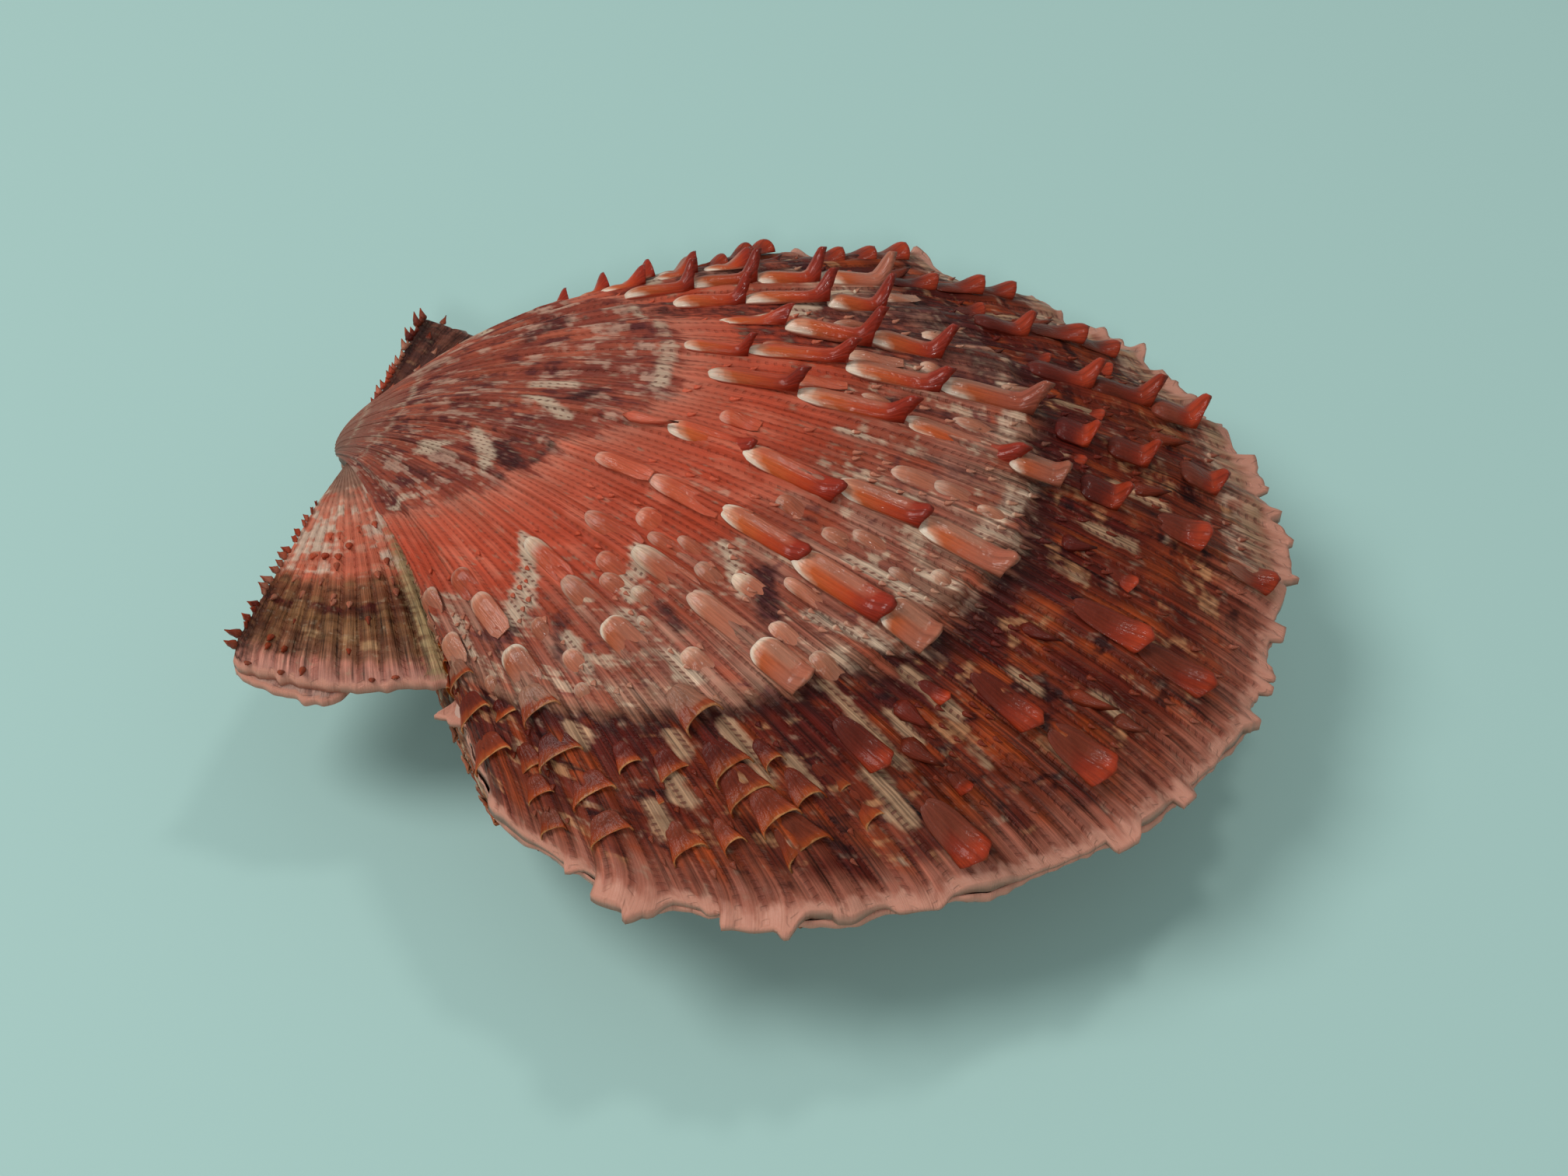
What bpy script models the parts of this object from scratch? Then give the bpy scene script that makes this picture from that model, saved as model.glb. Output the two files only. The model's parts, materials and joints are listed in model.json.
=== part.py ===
"""Spiny scallop shell: two hinged valves, closed, lying on the flatter one.

Metres, +Z up. Every shape is first worked out in the shell's own frame: the origin at the
middle of the hinge line, +X from the hinge to the ventral margin, +Y to the posterior side and
Z = 0 in the plane where the valves meet. An empty then carries the whole shell so that the
world origin lies under the middle of it, on the surface that the shell rests on.

A place on a valve is given as the growing shell would give it. Stage runs from 0 at the beak to
1 at the margin, and fan runs from -1 at the anterior crease to 1 at the posterior crease.
"""

import math

import bmesh
import bpy
import numpy as np
from mathutils import Matrix, Vector

MM = 0.001
MERGE = 1e-7

# Outline of a valve, seen from above: a circle pulled out of round by four harmonics
MARGIN_CENTRE = 35.3 * MM
MARGIN_RADIUS = 24.2 * MM
MARGIN_HARMONICS = (-3.7 * MM, -1.8 * MM, 1.7 * MM, -0.7 * MM)
FAN_HALF_ANGLE = math.radians(146)
# How much narrower than its last stage the fan is at the beak
WAIST = 0.2

# Where the two valves meet
VALVE_GAP = 0.3 * MM
MARGIN_THICKNESS = 0.75 * MM
WALL = 1.35 * MM
SKIRT_DEPTH = 3.0 * MM
# Each cutter's or helper's skirt ends at a level of its own, so that no two faces coincide
CAVITY_SKIRT_DEPTH = 4.0 * MM
EAR_SKIRT_DEPTH = 3.5 * MM
TRIM_BLOCK_SIZE = 120.0 * MM
# How fast the shell thickens and its lobes grow towards the margin
THICKNESS_POWER = 4
LOBE_POWER = 8

# The beak leans out over the hinge line
BEAK_X = -0.2 * MM
BEAK_LEAN = 0.7 * MM
BEAK_STAGE = 0.08
BEAK_TIP_HEIGHT = 0.35 * MM
# Distance in fan or stage over which slopes of the surface are measured
SLOPE_STEP = 0.004
GROWTH_STEP = 0.01

# Rounding of each valve: coil turns it like a spiral, and bulge swells its middle
UPPER_COIL = 0.42
UPPER_BULGE = 2.0 * MM
UPPER_BULGE_SKEW = 1.0
LOWER_COIL = 0.27
LOWER_BULGE = 3.95 * MM
LOWER_BULGE_SKEW = 2.0
FLANK_SHARPNESS = 1 / 0.15

# The flat that the lower valve rests on; the upper valve is nowhere cut off
REST_DEPTH = 8.45 * MM
UPPER_DEPTH = 100.0 * MM

# Main ribs, as fan positions from anterior to posterior
RIBS = (-0.86, -0.755, -0.61, -0.485, -0.315, -0.155, 0.055, 0.18, 0.31, 0.45, 0.58, 0.71, 0.83)
RIB_HALF_WIDTH = 0.042
RIB_HEIGHT = 0.95 * MM
LOWER_RIB_HEIGHT = 0.6 * MM
# Ribs reach their full height at this stage
RIB_FULL_STAGE = 0.3
RIB_PARTS = (-1.0, -0.5, 0.0, 0.5, 1.0)
# Columns of points are at least this share of a rib's half width apart
COLUMN_SPACING = 0.3
MARGIN_LOBE = 0.5 * MM

# Growth stages at which the surface has a row of points
STAGE_ROWS = (0.0, 0.035, 0.06, 0.1, 0.15, 0.21, 0.28, 0.37, 0.46, 0.55, 0.65, 0.75, 0.84, 0.92, 1.0)
CAVITY_ROWS = (0.19, 0.25, 0.33, 0.44, 0.57, 0.7, 0.83, 0.95)
CAVITY_COLUMNS = 22
CAVITY_FAN = 0.84

# Spines stand at the end of each growth step of a rib
SPINE_STAGES = (0.51, 0.6, 0.69, 0.775, 0.865, 0.95)
SPINE_LAST_STAGE = 0.96
# Stages shift a little from rib to rib, so that the spines don't stand in rings
SPINE_SHIFT = 0.012
SPINE_SHIFT_TURN = 2.4
# No spines on the ribs beyond this fan position
SPINE_FAN_LIMIT = 0.8
SPINE_SIDES = 5
SPINE_TIP = 0.42
SPINE_ROOT = 0.9 * MM
SPINE_LEAN = math.radians(48)
SPINE_FLATTEN = 0.62
# The longest spines stand round this fan position, and their length falls off over the spread
SPINE_PEAK_FAN = 0.2
SPINE_SPREAD = 0.55
SPINE_LEAST_LENGTH = 0.7 * MM
SPINE_ADDED_LENGTH = 1.7 * MM
# Share of the added length that a spine has at stage 0
SPINE_EARLY_SHARE = 0.55
SPINE_LEAST_WIDTH = 1.1 * MM
SPINE_ADDED_WIDTH = 0.9 * MM
LOWER_SPINE_STAGES = (0.8, 0.95)
LOWER_SPINE_LENGTH = 0.6 * MM
LOWER_SPINE_WIDTH = 1.3 * MM

# Ears: margin points from the crease out to the hinge corner, seen from above
UPPER_EAR = ((12.5, 15.7), (9.5, 16.7), (6.2, 17.7), (2.7, 17.9), (0.0, 17.6))
LOWER_EAR = ((8.6, 10.4), (7.3, 12.0), (6.8, 14.0), (6.5, 17.2), (5.4, 18.4), (2.8, 18.3), (0.0, 17.6))
BACK_EAR = ((12.5, 15.7), (9.0, 13.7), (4.9, 12.1), (2.4, 12.5), (0.0, 12.9))
EAR_ROWS = (0.08, 0.2, 0.35, 0.5, 0.65, 0.8, 0.91, 1.0)
EAR_HINGE_THICKNESS = 1.25 * MM
EAR_FALL = 1.5
EAR_STEP = 0.85
EAR_OVERLAP = 2.6 * MM
# The column tucked under the disc lies this much lower than the crease
EAR_TUCK = 0.7
# Share of the hinge thickness at the beak, and how much of it each stage adds
EAR_START_THICKNESS = 0.4
EAR_THICKENING = 2.0

# Ligament: a strip in the hinge line, with a pad under the beaks
STRIP_ENDS = (-11.0 * MM, 9.0 * MM)
STRIP_X = (0.1 * MM, 1.3 * MM)
STRIP_THICKNESS = 0.5 * MM
PAD_X = (0.7 * MM, 4.2 * MM)
PAD_HALF_WIDTHS = (0.7 * MM, 2.1 * MM)
PAD_THICKNESS = 2.0 * MM
LIGAMENT_GAP = 0.3 * MM
SLOT_REACH = 3.0 * MM

UPPER_COLOUR = (0.42, 0.09, 0.05)
LOWER_COLOUR = (0.45, 0.2, 0.11)
LIGAMENT_COLOUR = (0.06, 0.035, 0.02)
SHELL_ROUGHNESS = 0.42
LIGAMENT_ROUGHNESS = 0.6


def clear_scene():
    """Remove every object of the scene."""
    for obj in list(bpy.data.objects):
        bpy.data.objects.remove(obj, do_unlink=True)


def new_collection(name, hidden=False):
    """Make a collection in the scene; a hidden one is left out of renders."""
    collection = bpy.data.collections.new(name)
    collection.hide_render = hidden
    bpy.context.scene.collection.children.link(collection)
    return collection


def new_material(name, colour, roughness):
    """A plain Principled material."""
    material = bpy.data.materials.new(name)
    material.use_nodes = True
    shader = material.node_tree.nodes["Principled BSDF"]
    shader.inputs["Base Color"].default_value = (*colour, 1.0)
    shader.inputs["Roughness"].default_value = roughness
    shader.inputs["Metallic"].default_value = 0.0
    material.diffuse_color = (*colour, 1.0)
    return material


def margin_point(fan):
    """The margin's x and y at a fan position."""
    angle = fan * FAN_HALF_ANGLE
    radius = MARGIN_RADIUS
    for order, size in enumerate(MARGIN_HARMONICS, start=1):
        radius += size * math.cos(order * angle)
    return MARGIN_CENTRE + radius * math.cos(angle), radius * math.sin(angle)


def rib_profile(fan):
    """1 on the crest of a main rib, falling to 0 between ribs."""
    offset = min(abs(fan - rib) for rib in RIBS)
    return 0.5 + 0.5 * math.cos(math.pi * min(offset / RIB_HALF_WIDTH, 1.0))


class Valve:
    """The form of one valve; side is 1 for the upper valve and -1 for the lower one."""

    def __init__(self, side, coil, bulge, skew, rib_height):
        self.side = side
        self.coil = coil
        self.bulge = bulge
        self.skew = skew
        self.rib_height = rib_height

    def smooth(self, fan, stage):
        """A point of the valve's outside with no ribs on it, as if this were the upper valve."""
        margin_x, margin_y = margin_point(fan)
        turn = self.coil * math.log(1 / stage)
        reach = stage * (margin_x - BEAK_X)
        lean = BEAK_LEAN * math.exp(-((stage / BEAK_STAGE) ** 2))
        x = BEAK_X - lean + reach * math.cos(turn)
        y = stage * margin_y * (1 - WAIST * (1 - stage) * fan * fan)
        flank = max(1 - abs(fan) ** FLANK_SHARPNESS, 0.0)
        peak = self.skew / (self.skew + 1)
        swell = stage**self.skew * (1 - stage) / (peak**self.skew * (1 - peak))
        edge = MARGIN_THICKNESS * stage**THICKNESS_POWER
        z = reach * math.sin(turn) + self.bulge * flank * swell + edge
        return Vector((x, y, z))

    def outward(self, fan, stage):
        """The unit normal of the smooth outside, pointing out of the shell."""
        low, high = max(fan - SLOPE_STEP, -1.0), min(fan + SLOPE_STEP, 1.0)
        across = self.smooth(high, stage) - self.smooth(low, stage)
        after, before = min(stage + SLOPE_STEP, 1.0), stage - SLOPE_STEP
        along = self.smooth(fan, after) - self.smooth(fan, before)
        return along.cross(across).normalized()

    def ribbed(self, fan, stage):
        """A point of the outside with the main ribs raised and the margin drawn out in lobes."""
        if stage == 0:
            return Vector((BEAK_X - BEAK_LEAN, 0, BEAK_TIP_HEIGHT))
        rib = rib_profile(fan) * min(stage / RIB_FULL_STAGE, 1.0)
        point = self.smooth(fan, stage) + self.outward(fan, stage) * self.rib_height * rib
        margin_x, margin_y = margin_point(fan)
        away = Vector((margin_x - MARGIN_CENTRE, margin_y, 0)).normalized()
        point += away * MARGIN_LOBE * rib * stage**LOBE_POWER
        point.z = min(point.z, self.deepest())
        return point

    def deepest(self):
        """The lower valve is clamped flat where it rests; the upper one isn't."""
        return REST_DEPTH if self.side < 0 else UPPER_DEPTH

    def inside(self, fan, stage):
        """A point of the inside, one wall below the smooth outside."""
        return self.smooth(fan, stage) - self.outward(fan, stage) * WALL

    def crease_height(self, stage):
        """The height of the crease between disc and ear."""
        return self.smooth(-1.0, stage).z

    def placed(self, point):
        """The point on this valve's own side of the meeting plane."""
        return Vector((point.x, point.y, self.side * point.z))


def fan_columns():
    """Fan positions with a column of points: each rib's crest, shoulders and feet."""
    columns = {-1.0, 1.0}
    for rib in RIBS:
        for part in RIB_PARTS:
            columns.add(round(rib + part * RIB_HALF_WIDTH, 4))
    columns = sorted(column for column in columns if -1.0 <= column <= 1.0)
    spaced = [columns[0]]
    for column in columns[1:]:
        if column - spaced[-1] > COLUMN_SPACING * RIB_HALF_WIDTH:
            spaced.append(column)
    return spaced


def skirted_grid(name, columns, rows, place, side, floor, collection):
    """A closed solid: a grid of placed points, its border drawn down to a flat floor and filled."""
    shape = bmesh.new()
    bmesh.ops.create_grid(shape, x_segments=len(columns) - 1, y_segments=len(rows) - 1, size=0.5)
    for vertex in shape.verts:
        column = columns[round((vertex.co.x + 0.5) * (len(columns) - 1))]
        row = rows[round((vertex.co.y + 0.5) * (len(rows) - 1))]
        vertex.co = place(column, row)
    bmesh.ops.remove_doubles(shape, verts=shape.verts, dist=MERGE)
    border = [edge for edge in shape.edges if edge.is_boundary]
    skirt = bmesh.ops.extrude_edge_only(shape, edges=border)["geom"]
    for element in skirt:
        if isinstance(element, bmesh.types.BMVert):
            element.co.z = -side * floor
    rim = [edge for edge in shape.edges if edge.is_boundary]
    bmesh.ops.holes_fill(shape, edges=rim, sides=0)
    bmesh.ops.recalc_face_normals(shape, faces=shape.faces)
    return finish_mesh(name, shape, collection)


def finish_mesh(name, shape, collection):
    """Put a bmesh into a new object of the collection."""
    mesh = bpy.data.meshes.new(name)
    shape.to_mesh(mesh)
    shape.free()
    obj = bpy.data.objects.new(name, mesh)
    collection.objects.link(obj)
    return obj


def make_helper(obj):
    """Keep an object that only cuts or joins out of renders."""
    obj.hide_render = True
    obj.display_type = "WIRE"
    return obj


def add_boolean(target, operation, other):
    """Join to the target, or cut from it, with a Boolean modifier."""
    modifier = target.modifiers.new(f"{operation.lower()} {other.name}", "BOOLEAN")
    modifier.operation = operation
    modifier.solver = "EXACT"
    modifier.object = other


def disc(valve, name, collection):
    """The valve's fan-shaped disc, solid down to below the meeting plane."""

    def place(fan, stage):
        return valve.placed(valve.ribbed(fan, stage))

    return skirted_grid(name, fan_columns(), STAGE_ROWS, place, valve.side, SKIRT_DEPTH, collection)


def cavity(valve, name, collection):
    """The hollow that the animal lived in."""
    columns = np.linspace(-CAVITY_FAN, CAVITY_FAN, CAVITY_COLUMNS + 1)

    def place(fan, stage):
        return valve.placed(valve.inside(float(fan), stage))

    hollow = skirted_grid(
        name, columns, CAVITY_ROWS, place, valve.side, CAVITY_SKIRT_DEPTH, collection
    )
    return make_helper(hollow)


def ear(valve, name, margin, turn_side, collection):
    """An ear plate; turn_side is -1 for the anterior ear and 1 for the posterior one."""
    corners = [Vector((x * MM, turn_side * y * MM)) for x, y in margin]
    tucked = corners[0] + Vector((EAR_OVERLAP, -turn_side * EAR_OVERLAP))
    columns = list(range(-1, len(corners)))

    def place(column, stage):
        corner = tucked if column < 0 else corners[column]
        share = max(column, 0) / (len(corners) - 1)
        near_crease = (1 - share) ** EAR_FALL
        reach = stage * (corner.x - BEAK_X * (1 - share))
        x = BEAK_X * (1 - share) + reach * math.cos(valve.coil * math.log(1 / stage))
        y = stage * corner.y * (1 - WAIST * (1 - stage) * (1 - share))
        hinge = EAR_HINGE_THICKNESS * min(EAR_START_THICKNESS + EAR_THICKENING * stage, 1.0)
        z = EAR_STEP * valve.crease_height(stage) * near_crease + hinge * (1 - near_crease)
        z = EAR_TUCK * z if column < 0 else z
        return valve.placed(Vector((x, y, z)))

    plate = skirted_grid(name, columns, EAR_ROWS, place, valve.side, EAR_SKIRT_DEPTH, collection)
    return make_helper(plate)


def add_spine(shape, valve, fan, stage, length, width):
    """One blunt tapered spine, flattened along its rib and leaning to the margin."""
    normal = valve.outward(fan, stage)
    after, before = min(stage + GROWTH_STEP, 1.0), stage - GROWTH_STEP
    growth = (valve.smooth(fan, after) - valve.smooth(fan, before)).normalized()
    across = normal.cross(growth).normalized()
    lean = (normal * math.cos(SPINE_LEAN) + growth * math.sin(SPINE_LEAN)).normalized()
    depth = length + SPINE_ROOT
    base = valve.ribbed(fan, stage)
    centre = base + lean * (depth / 2 - SPINE_ROOT)
    thickness_axis = lean.cross(across).normalized()
    axes = [valve.placed(axis) for axis in (across, thickness_axis * SPINE_FLATTEN, lean)]
    turned = Matrix((axes[0], axes[1], axes[2])).transposed().to_4x4()
    matrix = Matrix.Translation(valve.placed(centre)) @ turned
    bmesh.ops.create_cone(
        shape,
        cap_ends=True,
        segments=SPINE_SIDES,
        radius1=width / 2,
        radius2=SPINE_TIP * width / 2,
        depth=depth,
        matrix=matrix,
    )


def spine_size(fan, stage):
    """Length and width of a main spine: longest on the middle and posterior ribs."""
    across = math.exp(-(((fan - SPINE_PEAK_FAN) / SPINE_SPREAD) ** 2))
    grown = SPINE_EARLY_SHARE + (1 - SPINE_EARLY_SHARE) * stage
    length = SPINE_LEAST_LENGTH + SPINE_ADDED_LENGTH * across * grown
    width = SPINE_LEAST_WIDTH + SPINE_ADDED_WIDTH * stage
    return length, width


def upper_spines(valve, collection):
    """The spines on the upper valve's ribs."""
    shape = bmesh.new()
    for index, rib in enumerate(RIBS):
        if abs(rib) > SPINE_FAN_LIMIT:
            continue
        shift = SPINE_SHIFT * math.sin(SPINE_SHIFT_TURN * index)
        for stage in SPINE_STAGES:
            shifted = min(stage + shift, SPINE_LAST_STAGE)
            add_spine(shape, valve, rib, shifted, *spine_size(rib, stage))
    bmesh.ops.recalc_face_normals(shape, faces=shape.faces)
    return make_helper(finish_mesh("upper_spines", shape, collection))


def lower_spines(valve, collection):
    """The short scales near the lower valve's margin."""
    shape = bmesh.new()
    for rib in RIBS:
        for stage in LOWER_SPINE_STAGES:
            add_spine(shape, valve, rib, stage, LOWER_SPINE_LENGTH, LOWER_SPINE_WIDTH)
    bmesh.ops.recalc_face_normals(shape, faces=shape.faces)
    return make_helper(finish_mesh("lower_spines", shape, collection))


def trim_block(side, collection):
    """Everything on the far side of the meeting plane, less half the gap between the valves."""
    shape = bmesh.new()
    bmesh.ops.create_cube(shape, size=TRIM_BLOCK_SIZE)
    obj = finish_mesh(f"trim_{'upper' if side > 0 else 'lower'}", shape, collection)
    obj.location = (TRIM_BLOCK_SIZE / 4, 0, side * (VALVE_GAP - TRIM_BLOCK_SIZE) / 2)
    return make_helper(obj)


def strip_and_pad(name, grow, slot, collection):
    """The ligament's strip and pad as two solids; grow widens them and slot opens them outwards."""
    strip = bmesh.new()
    bmesh.ops.create_cube(strip, size=1.0)
    start = STRIP_X[0] - grow - slot
    size = (STRIP_X[1] + grow - start, STRIP_ENDS[1] - STRIP_ENDS[0] + 2 * grow)
    centre = Vector(((STRIP_X[1] + grow + start) / 2, sum(STRIP_ENDS) / 2, 0))
    bmesh.ops.scale(strip, vec=(*size, STRIP_THICKNESS + 2 * grow), verts=strip.verts)
    bmesh.ops.translate(strip, vec=centre, verts=strip.verts)
    flare = (PAD_HALF_WIDTHS[1] - PAD_HALF_WIDTHS[0]) / (PAD_X[1] - PAD_X[0])
    pad = bmesh.new()
    bmesh.ops.create_cube(pad, size=2.0)
    for vertex in pad.verts:
        end = int(vertex.co.x > 0)
        vertex.co.x = PAD_X[end] + grow * vertex.co.x + slot * end
        vertex.co.y *= PAD_HALF_WIDTHS[end] + grow + flare * slot * end
        vertex.co.z *= PAD_THICKNESS / 2 + grow
    return finish_mesh(f"{name}_strip", strip, collection), finish_mesh(f"{name}_pad", pad, collection)


def build_valve(name, valve, front_ear, spines, helpers, parts, colour):
    """One valve: disc, ears and spines joined, then trimmed flat, hollowed and slotted."""
    body = disc(valve, name, parts)
    add_boolean(body, "UNION", ear(valve, f"{name}_front_ear", front_ear, -1, helpers))
    add_boolean(body, "UNION", ear(valve, f"{name}_back_ear", BACK_EAR, 1, helpers))
    add_boolean(body, "UNION", spines(valve, helpers))
    add_boolean(body, "DIFFERENCE", trim_block(valve.side, helpers))
    add_boolean(body, "DIFFERENCE", cavity(valve, f"{name}_cavity", helpers))
    for cutter in strip_and_pad(f"{name}_slot", LIGAMENT_GAP, SLOT_REACH, helpers):
        add_boolean(body, "DIFFERENCE", make_helper(cutter))
    body.data.materials.append(new_material(name, colour, SHELL_ROUGHNESS))
    return body


def build_ligament(helpers, parts):
    """The dark ligament that ties the valves along the hinge."""
    strip, pad = strip_and_pad("ligament", 0.0, 0.0, helpers)
    helpers.objects.unlink(strip)
    parts.objects.link(strip)
    strip.name = "hinge_ligament"
    add_boolean(strip, "UNION", make_helper(pad))
    strip.data.materials.append(new_material("ligament", LIGAMENT_COLOUR, LIGAMENT_ROUGHNESS))
    return strip


def stand_on_origin(parts, helpers):
    """Carry everything by an empty so that the origin is under the parts' middle, at the bottom."""
    bpy.context.view_layer.update()
    graph = bpy.context.evaluated_depsgraph_get()
    points = []
    for obj in parts:
        mesh = obj.evaluated_get(graph).to_mesh()
        points += [vertex.co.copy() for vertex in mesh.vertices]
    low = Vector([min(point[axis] for point in points) for axis in range(3)])
    high = Vector([max(point[axis] for point in points) for axis in range(3)])
    carrier = bpy.data.objects.new("scallop_shell_frame", None)
    parts[0].users_collection[0].objects.link(carrier)
    carrier.location = (-(low.x + high.x) / 2, -(low.y + high.y) / 2, -low.z)
    for obj in [*parts, *helpers]:
        obj.parent = carrier


def main():
    """Build the shell."""
    clear_scene()
    parts = new_collection("scallop_shell")
    helpers = new_collection("scallop_shell_helpers", hidden=True)
    upper = Valve(1, UPPER_COIL, UPPER_BULGE, UPPER_BULGE_SKEW, RIB_HEIGHT)
    lower = Valve(-1, LOWER_COIL, LOWER_BULGE, LOWER_BULGE_SKEW, LOWER_RIB_HEIGHT)
    built = [
        build_valve("upper_valve", upper, UPPER_EAR, upper_spines, helpers, parts, UPPER_COLOUR),
        build_valve("lower_valve", lower, LOWER_EAR, lower_spines, helpers, parts, LOWER_COLOUR),
        build_ligament(helpers, parts),
    ]
    stand_on_origin(built, list(helpers.objects))


main()
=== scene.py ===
"""The looks of a closed spiny scallop shell, built around its plain solids.

Each valve is drawn as the growing shell would draw it: stage runs from 0 at the beak to 1 at the
margin, and fan runs from -1 at the front crease to 1 at the back crease. The form is worked out
in the shell's own frame, with the origin in the middle of the hinge line, +X to the margin and
Z = 0 where the valves meet, and then carried to where the solids are.
"""

import json
import logging
import math
from dataclasses import dataclass, field
from enum import Enum
from typing import Any, Sequence

import bmesh
import bpy
import numpy as np
from bpy.types import Collection, Material, Mesh, Node, NodeSocket, NodeTree, Object
from mathutils import Matrix, Vector
from mathutils.bvhtree import BVHTree

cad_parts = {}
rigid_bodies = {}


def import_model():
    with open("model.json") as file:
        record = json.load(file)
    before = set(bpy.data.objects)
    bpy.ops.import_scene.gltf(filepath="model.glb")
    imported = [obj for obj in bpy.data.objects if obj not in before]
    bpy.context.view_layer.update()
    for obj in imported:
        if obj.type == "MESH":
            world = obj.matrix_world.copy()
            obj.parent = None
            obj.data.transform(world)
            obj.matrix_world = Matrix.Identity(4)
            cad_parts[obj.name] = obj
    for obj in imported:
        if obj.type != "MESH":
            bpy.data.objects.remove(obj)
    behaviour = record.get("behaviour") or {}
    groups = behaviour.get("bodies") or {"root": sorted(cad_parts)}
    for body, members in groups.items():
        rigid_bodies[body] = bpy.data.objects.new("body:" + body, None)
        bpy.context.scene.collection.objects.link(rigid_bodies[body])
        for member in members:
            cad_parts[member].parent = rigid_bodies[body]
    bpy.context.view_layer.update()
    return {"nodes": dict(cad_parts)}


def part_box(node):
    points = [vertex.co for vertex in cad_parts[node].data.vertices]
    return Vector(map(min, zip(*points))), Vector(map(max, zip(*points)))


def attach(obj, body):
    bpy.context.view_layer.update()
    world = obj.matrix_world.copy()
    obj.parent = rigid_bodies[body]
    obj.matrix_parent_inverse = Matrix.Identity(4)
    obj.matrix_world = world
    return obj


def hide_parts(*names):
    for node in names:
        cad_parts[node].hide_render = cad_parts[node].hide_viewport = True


MM = 0.001
BODY = "root"
GROWTH_MAP = "growth"
FAN_LENGTH = 61.7 * MM
STAGE_LENGTH = 55.0 * MM

log = logging.getLogger("scallop")

Array = np.ndarray
Colour = tuple[float, float, float]
Stops = tuple[tuple[float, Colour], ...]


class Side(Enum):
    """Which valve a piece belongs to; the value is the sign of its height."""

    UPPER = 1
    LOWER = -1


class Mark(Enum):
    """What a stroke does to the colour of the shell; some DARK strokes are painted shade."""

    PALE = "pale"
    DARK = "dark"
    GOLD = "gold"


class Style(Enum):
    """The kinds of hollow scale on the ribs."""

    GLOSSY = 0
    SPINE = 1
    GREY = 2
    LEAF = 3
    SPOON = 4
    STUB = 5


GLOSSY, SPINE, GREY, LEAF, SPOON, STUB = Style


# Small numeric helpers


def fade(value: Array, low: float, high: float) -> Array:
    """Ease a value from 0 at low to 1 at high.

    Args:
        value: The values to ease.
        low: Where the result starts to leave 0.
        high: Where the result reaches 1; it may be lower than low.

    Returns:
        An array of the same shape, from 0 to 1.
    """
    part = np.clip((np.asarray(value, float) - low) / (high - low), 0.0, 1.0)
    return part * part * (3.0 - 2.0 * part)


def drift(across: Array, along: Array, seed: int) -> Array:
    """Smooth random values on a grid of unit cells.

    Args:
        across: First coordinate, in cells.
        along: Second coordinate, in cells.
        seed: Chooses the pattern.

    Returns:
        Values from -1 to 1.
    """
    across, along = np.broadcast_arrays(np.asarray(across, float), np.asarray(along, float))
    cell_x, cell_y = np.floor(across), np.floor(along)
    part_x, part_y = fade(across - cell_x, 0, 1), fade(along - cell_y, 0, 1)

    def corner(step_x: int, step_y: int) -> Array:
        """Random value of one corner of each cell."""
        wave = np.sin((cell_x + step_x) * 127.1 + (cell_y + step_y) * 311.7 + seed * 74.7) * 43758.5453
        return wave - np.floor(wave)

    low = corner(0, 0) * (1 - part_x) + corner(1, 0) * part_x
    high = corner(0, 1) * (1 - part_x) + corner(1, 1) * part_x
    return 2.0 * (low * (1 - part_y) + high * part_y) - 1.0


def unit(vectors: Array) -> Array:
    """Vectors brought to length 1."""
    return vectors / np.maximum(np.linalg.norm(vectors, axis=-1, keepdims=True), 1e-12)


# Form of the shell, the same as that of the solids


@dataclass(frozen=True)
class Planform:
    """Outline of a valve, seen from above: a circle pulled out of round by four harmonics."""

    centre: float = 35.3 * MM
    radius: float = 24.2 * MM
    harmonics: tuple[float, ...] = (-3.7 * MM, -1.8 * MM, 1.7 * MM, -0.7 * MM)
    half_angle: float = math.radians(146)
    waist: float = 0.2
    beak_x: float = -0.2 * MM
    beak_lean: float = 0.7 * MM
    beak_stage: float = 0.08
    beak_height: float = 0.35 * MM

    def margin(self, fan: Array) -> tuple[Array, Array]:
        """Where the smooth margin runs.

        Args:
            fan: Fan positions.

        Returns:
            The x and the y of the margin.
        """
        angle = np.asarray(fan, float) * self.half_angle
        radius = self.radius + sum(
            size * np.cos(order * angle) for order, size in enumerate(self.harmonics, start=1)
        )
        return self.centre + radius * np.cos(angle), radius * np.sin(angle)

    def away(self, fan: Array) -> Array:
        """Level unit vectors that point out of the outline."""
        margin_x, margin_y = self.margin(fan)
        return unit(np.stack([margin_x - self.centre, margin_y, np.zeros_like(margin_x)], -1))


@dataclass(frozen=True)
class RibPlan:
    """Where the main ribs stand, and the fine riblets between them."""

    ribs: tuple[float, ...] = (
        -0.86, -0.755, -0.61, -0.485, -0.315, -0.155, 0.055, 0.18, 0.31, 0.45, 0.58, 0.71, 0.83
    )
    half_width: float = 0.038
    spacing: float = 0.0175

    def crest(self, fan: Array) -> Array:
        """1 on the crest of a main rib, falling to 0 between ribs."""
        offset = np.min(np.abs(np.asarray(fan)[..., None] - np.array(self.ribs)), axis=-1)
        return 0.5 + 0.5 * np.cos(np.pi * np.minimum(offset / self.half_width, 1.0))

    def riblet(self, fan: Array) -> Array:
        """A count of riblets, whole on each riblet's crest and on every main rib.

        Args:
            fan: Fan positions.

        Returns:
            One count for each position.
        """
        posts = np.array([-1.0, *self.ribs, 1.0])
        counts = np.maximum(np.round(np.diff(posts) / self.spacing), 1)
        return np.interp(fan, posts, np.concatenate([[0.0], np.cumsum(counts)]))


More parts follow.
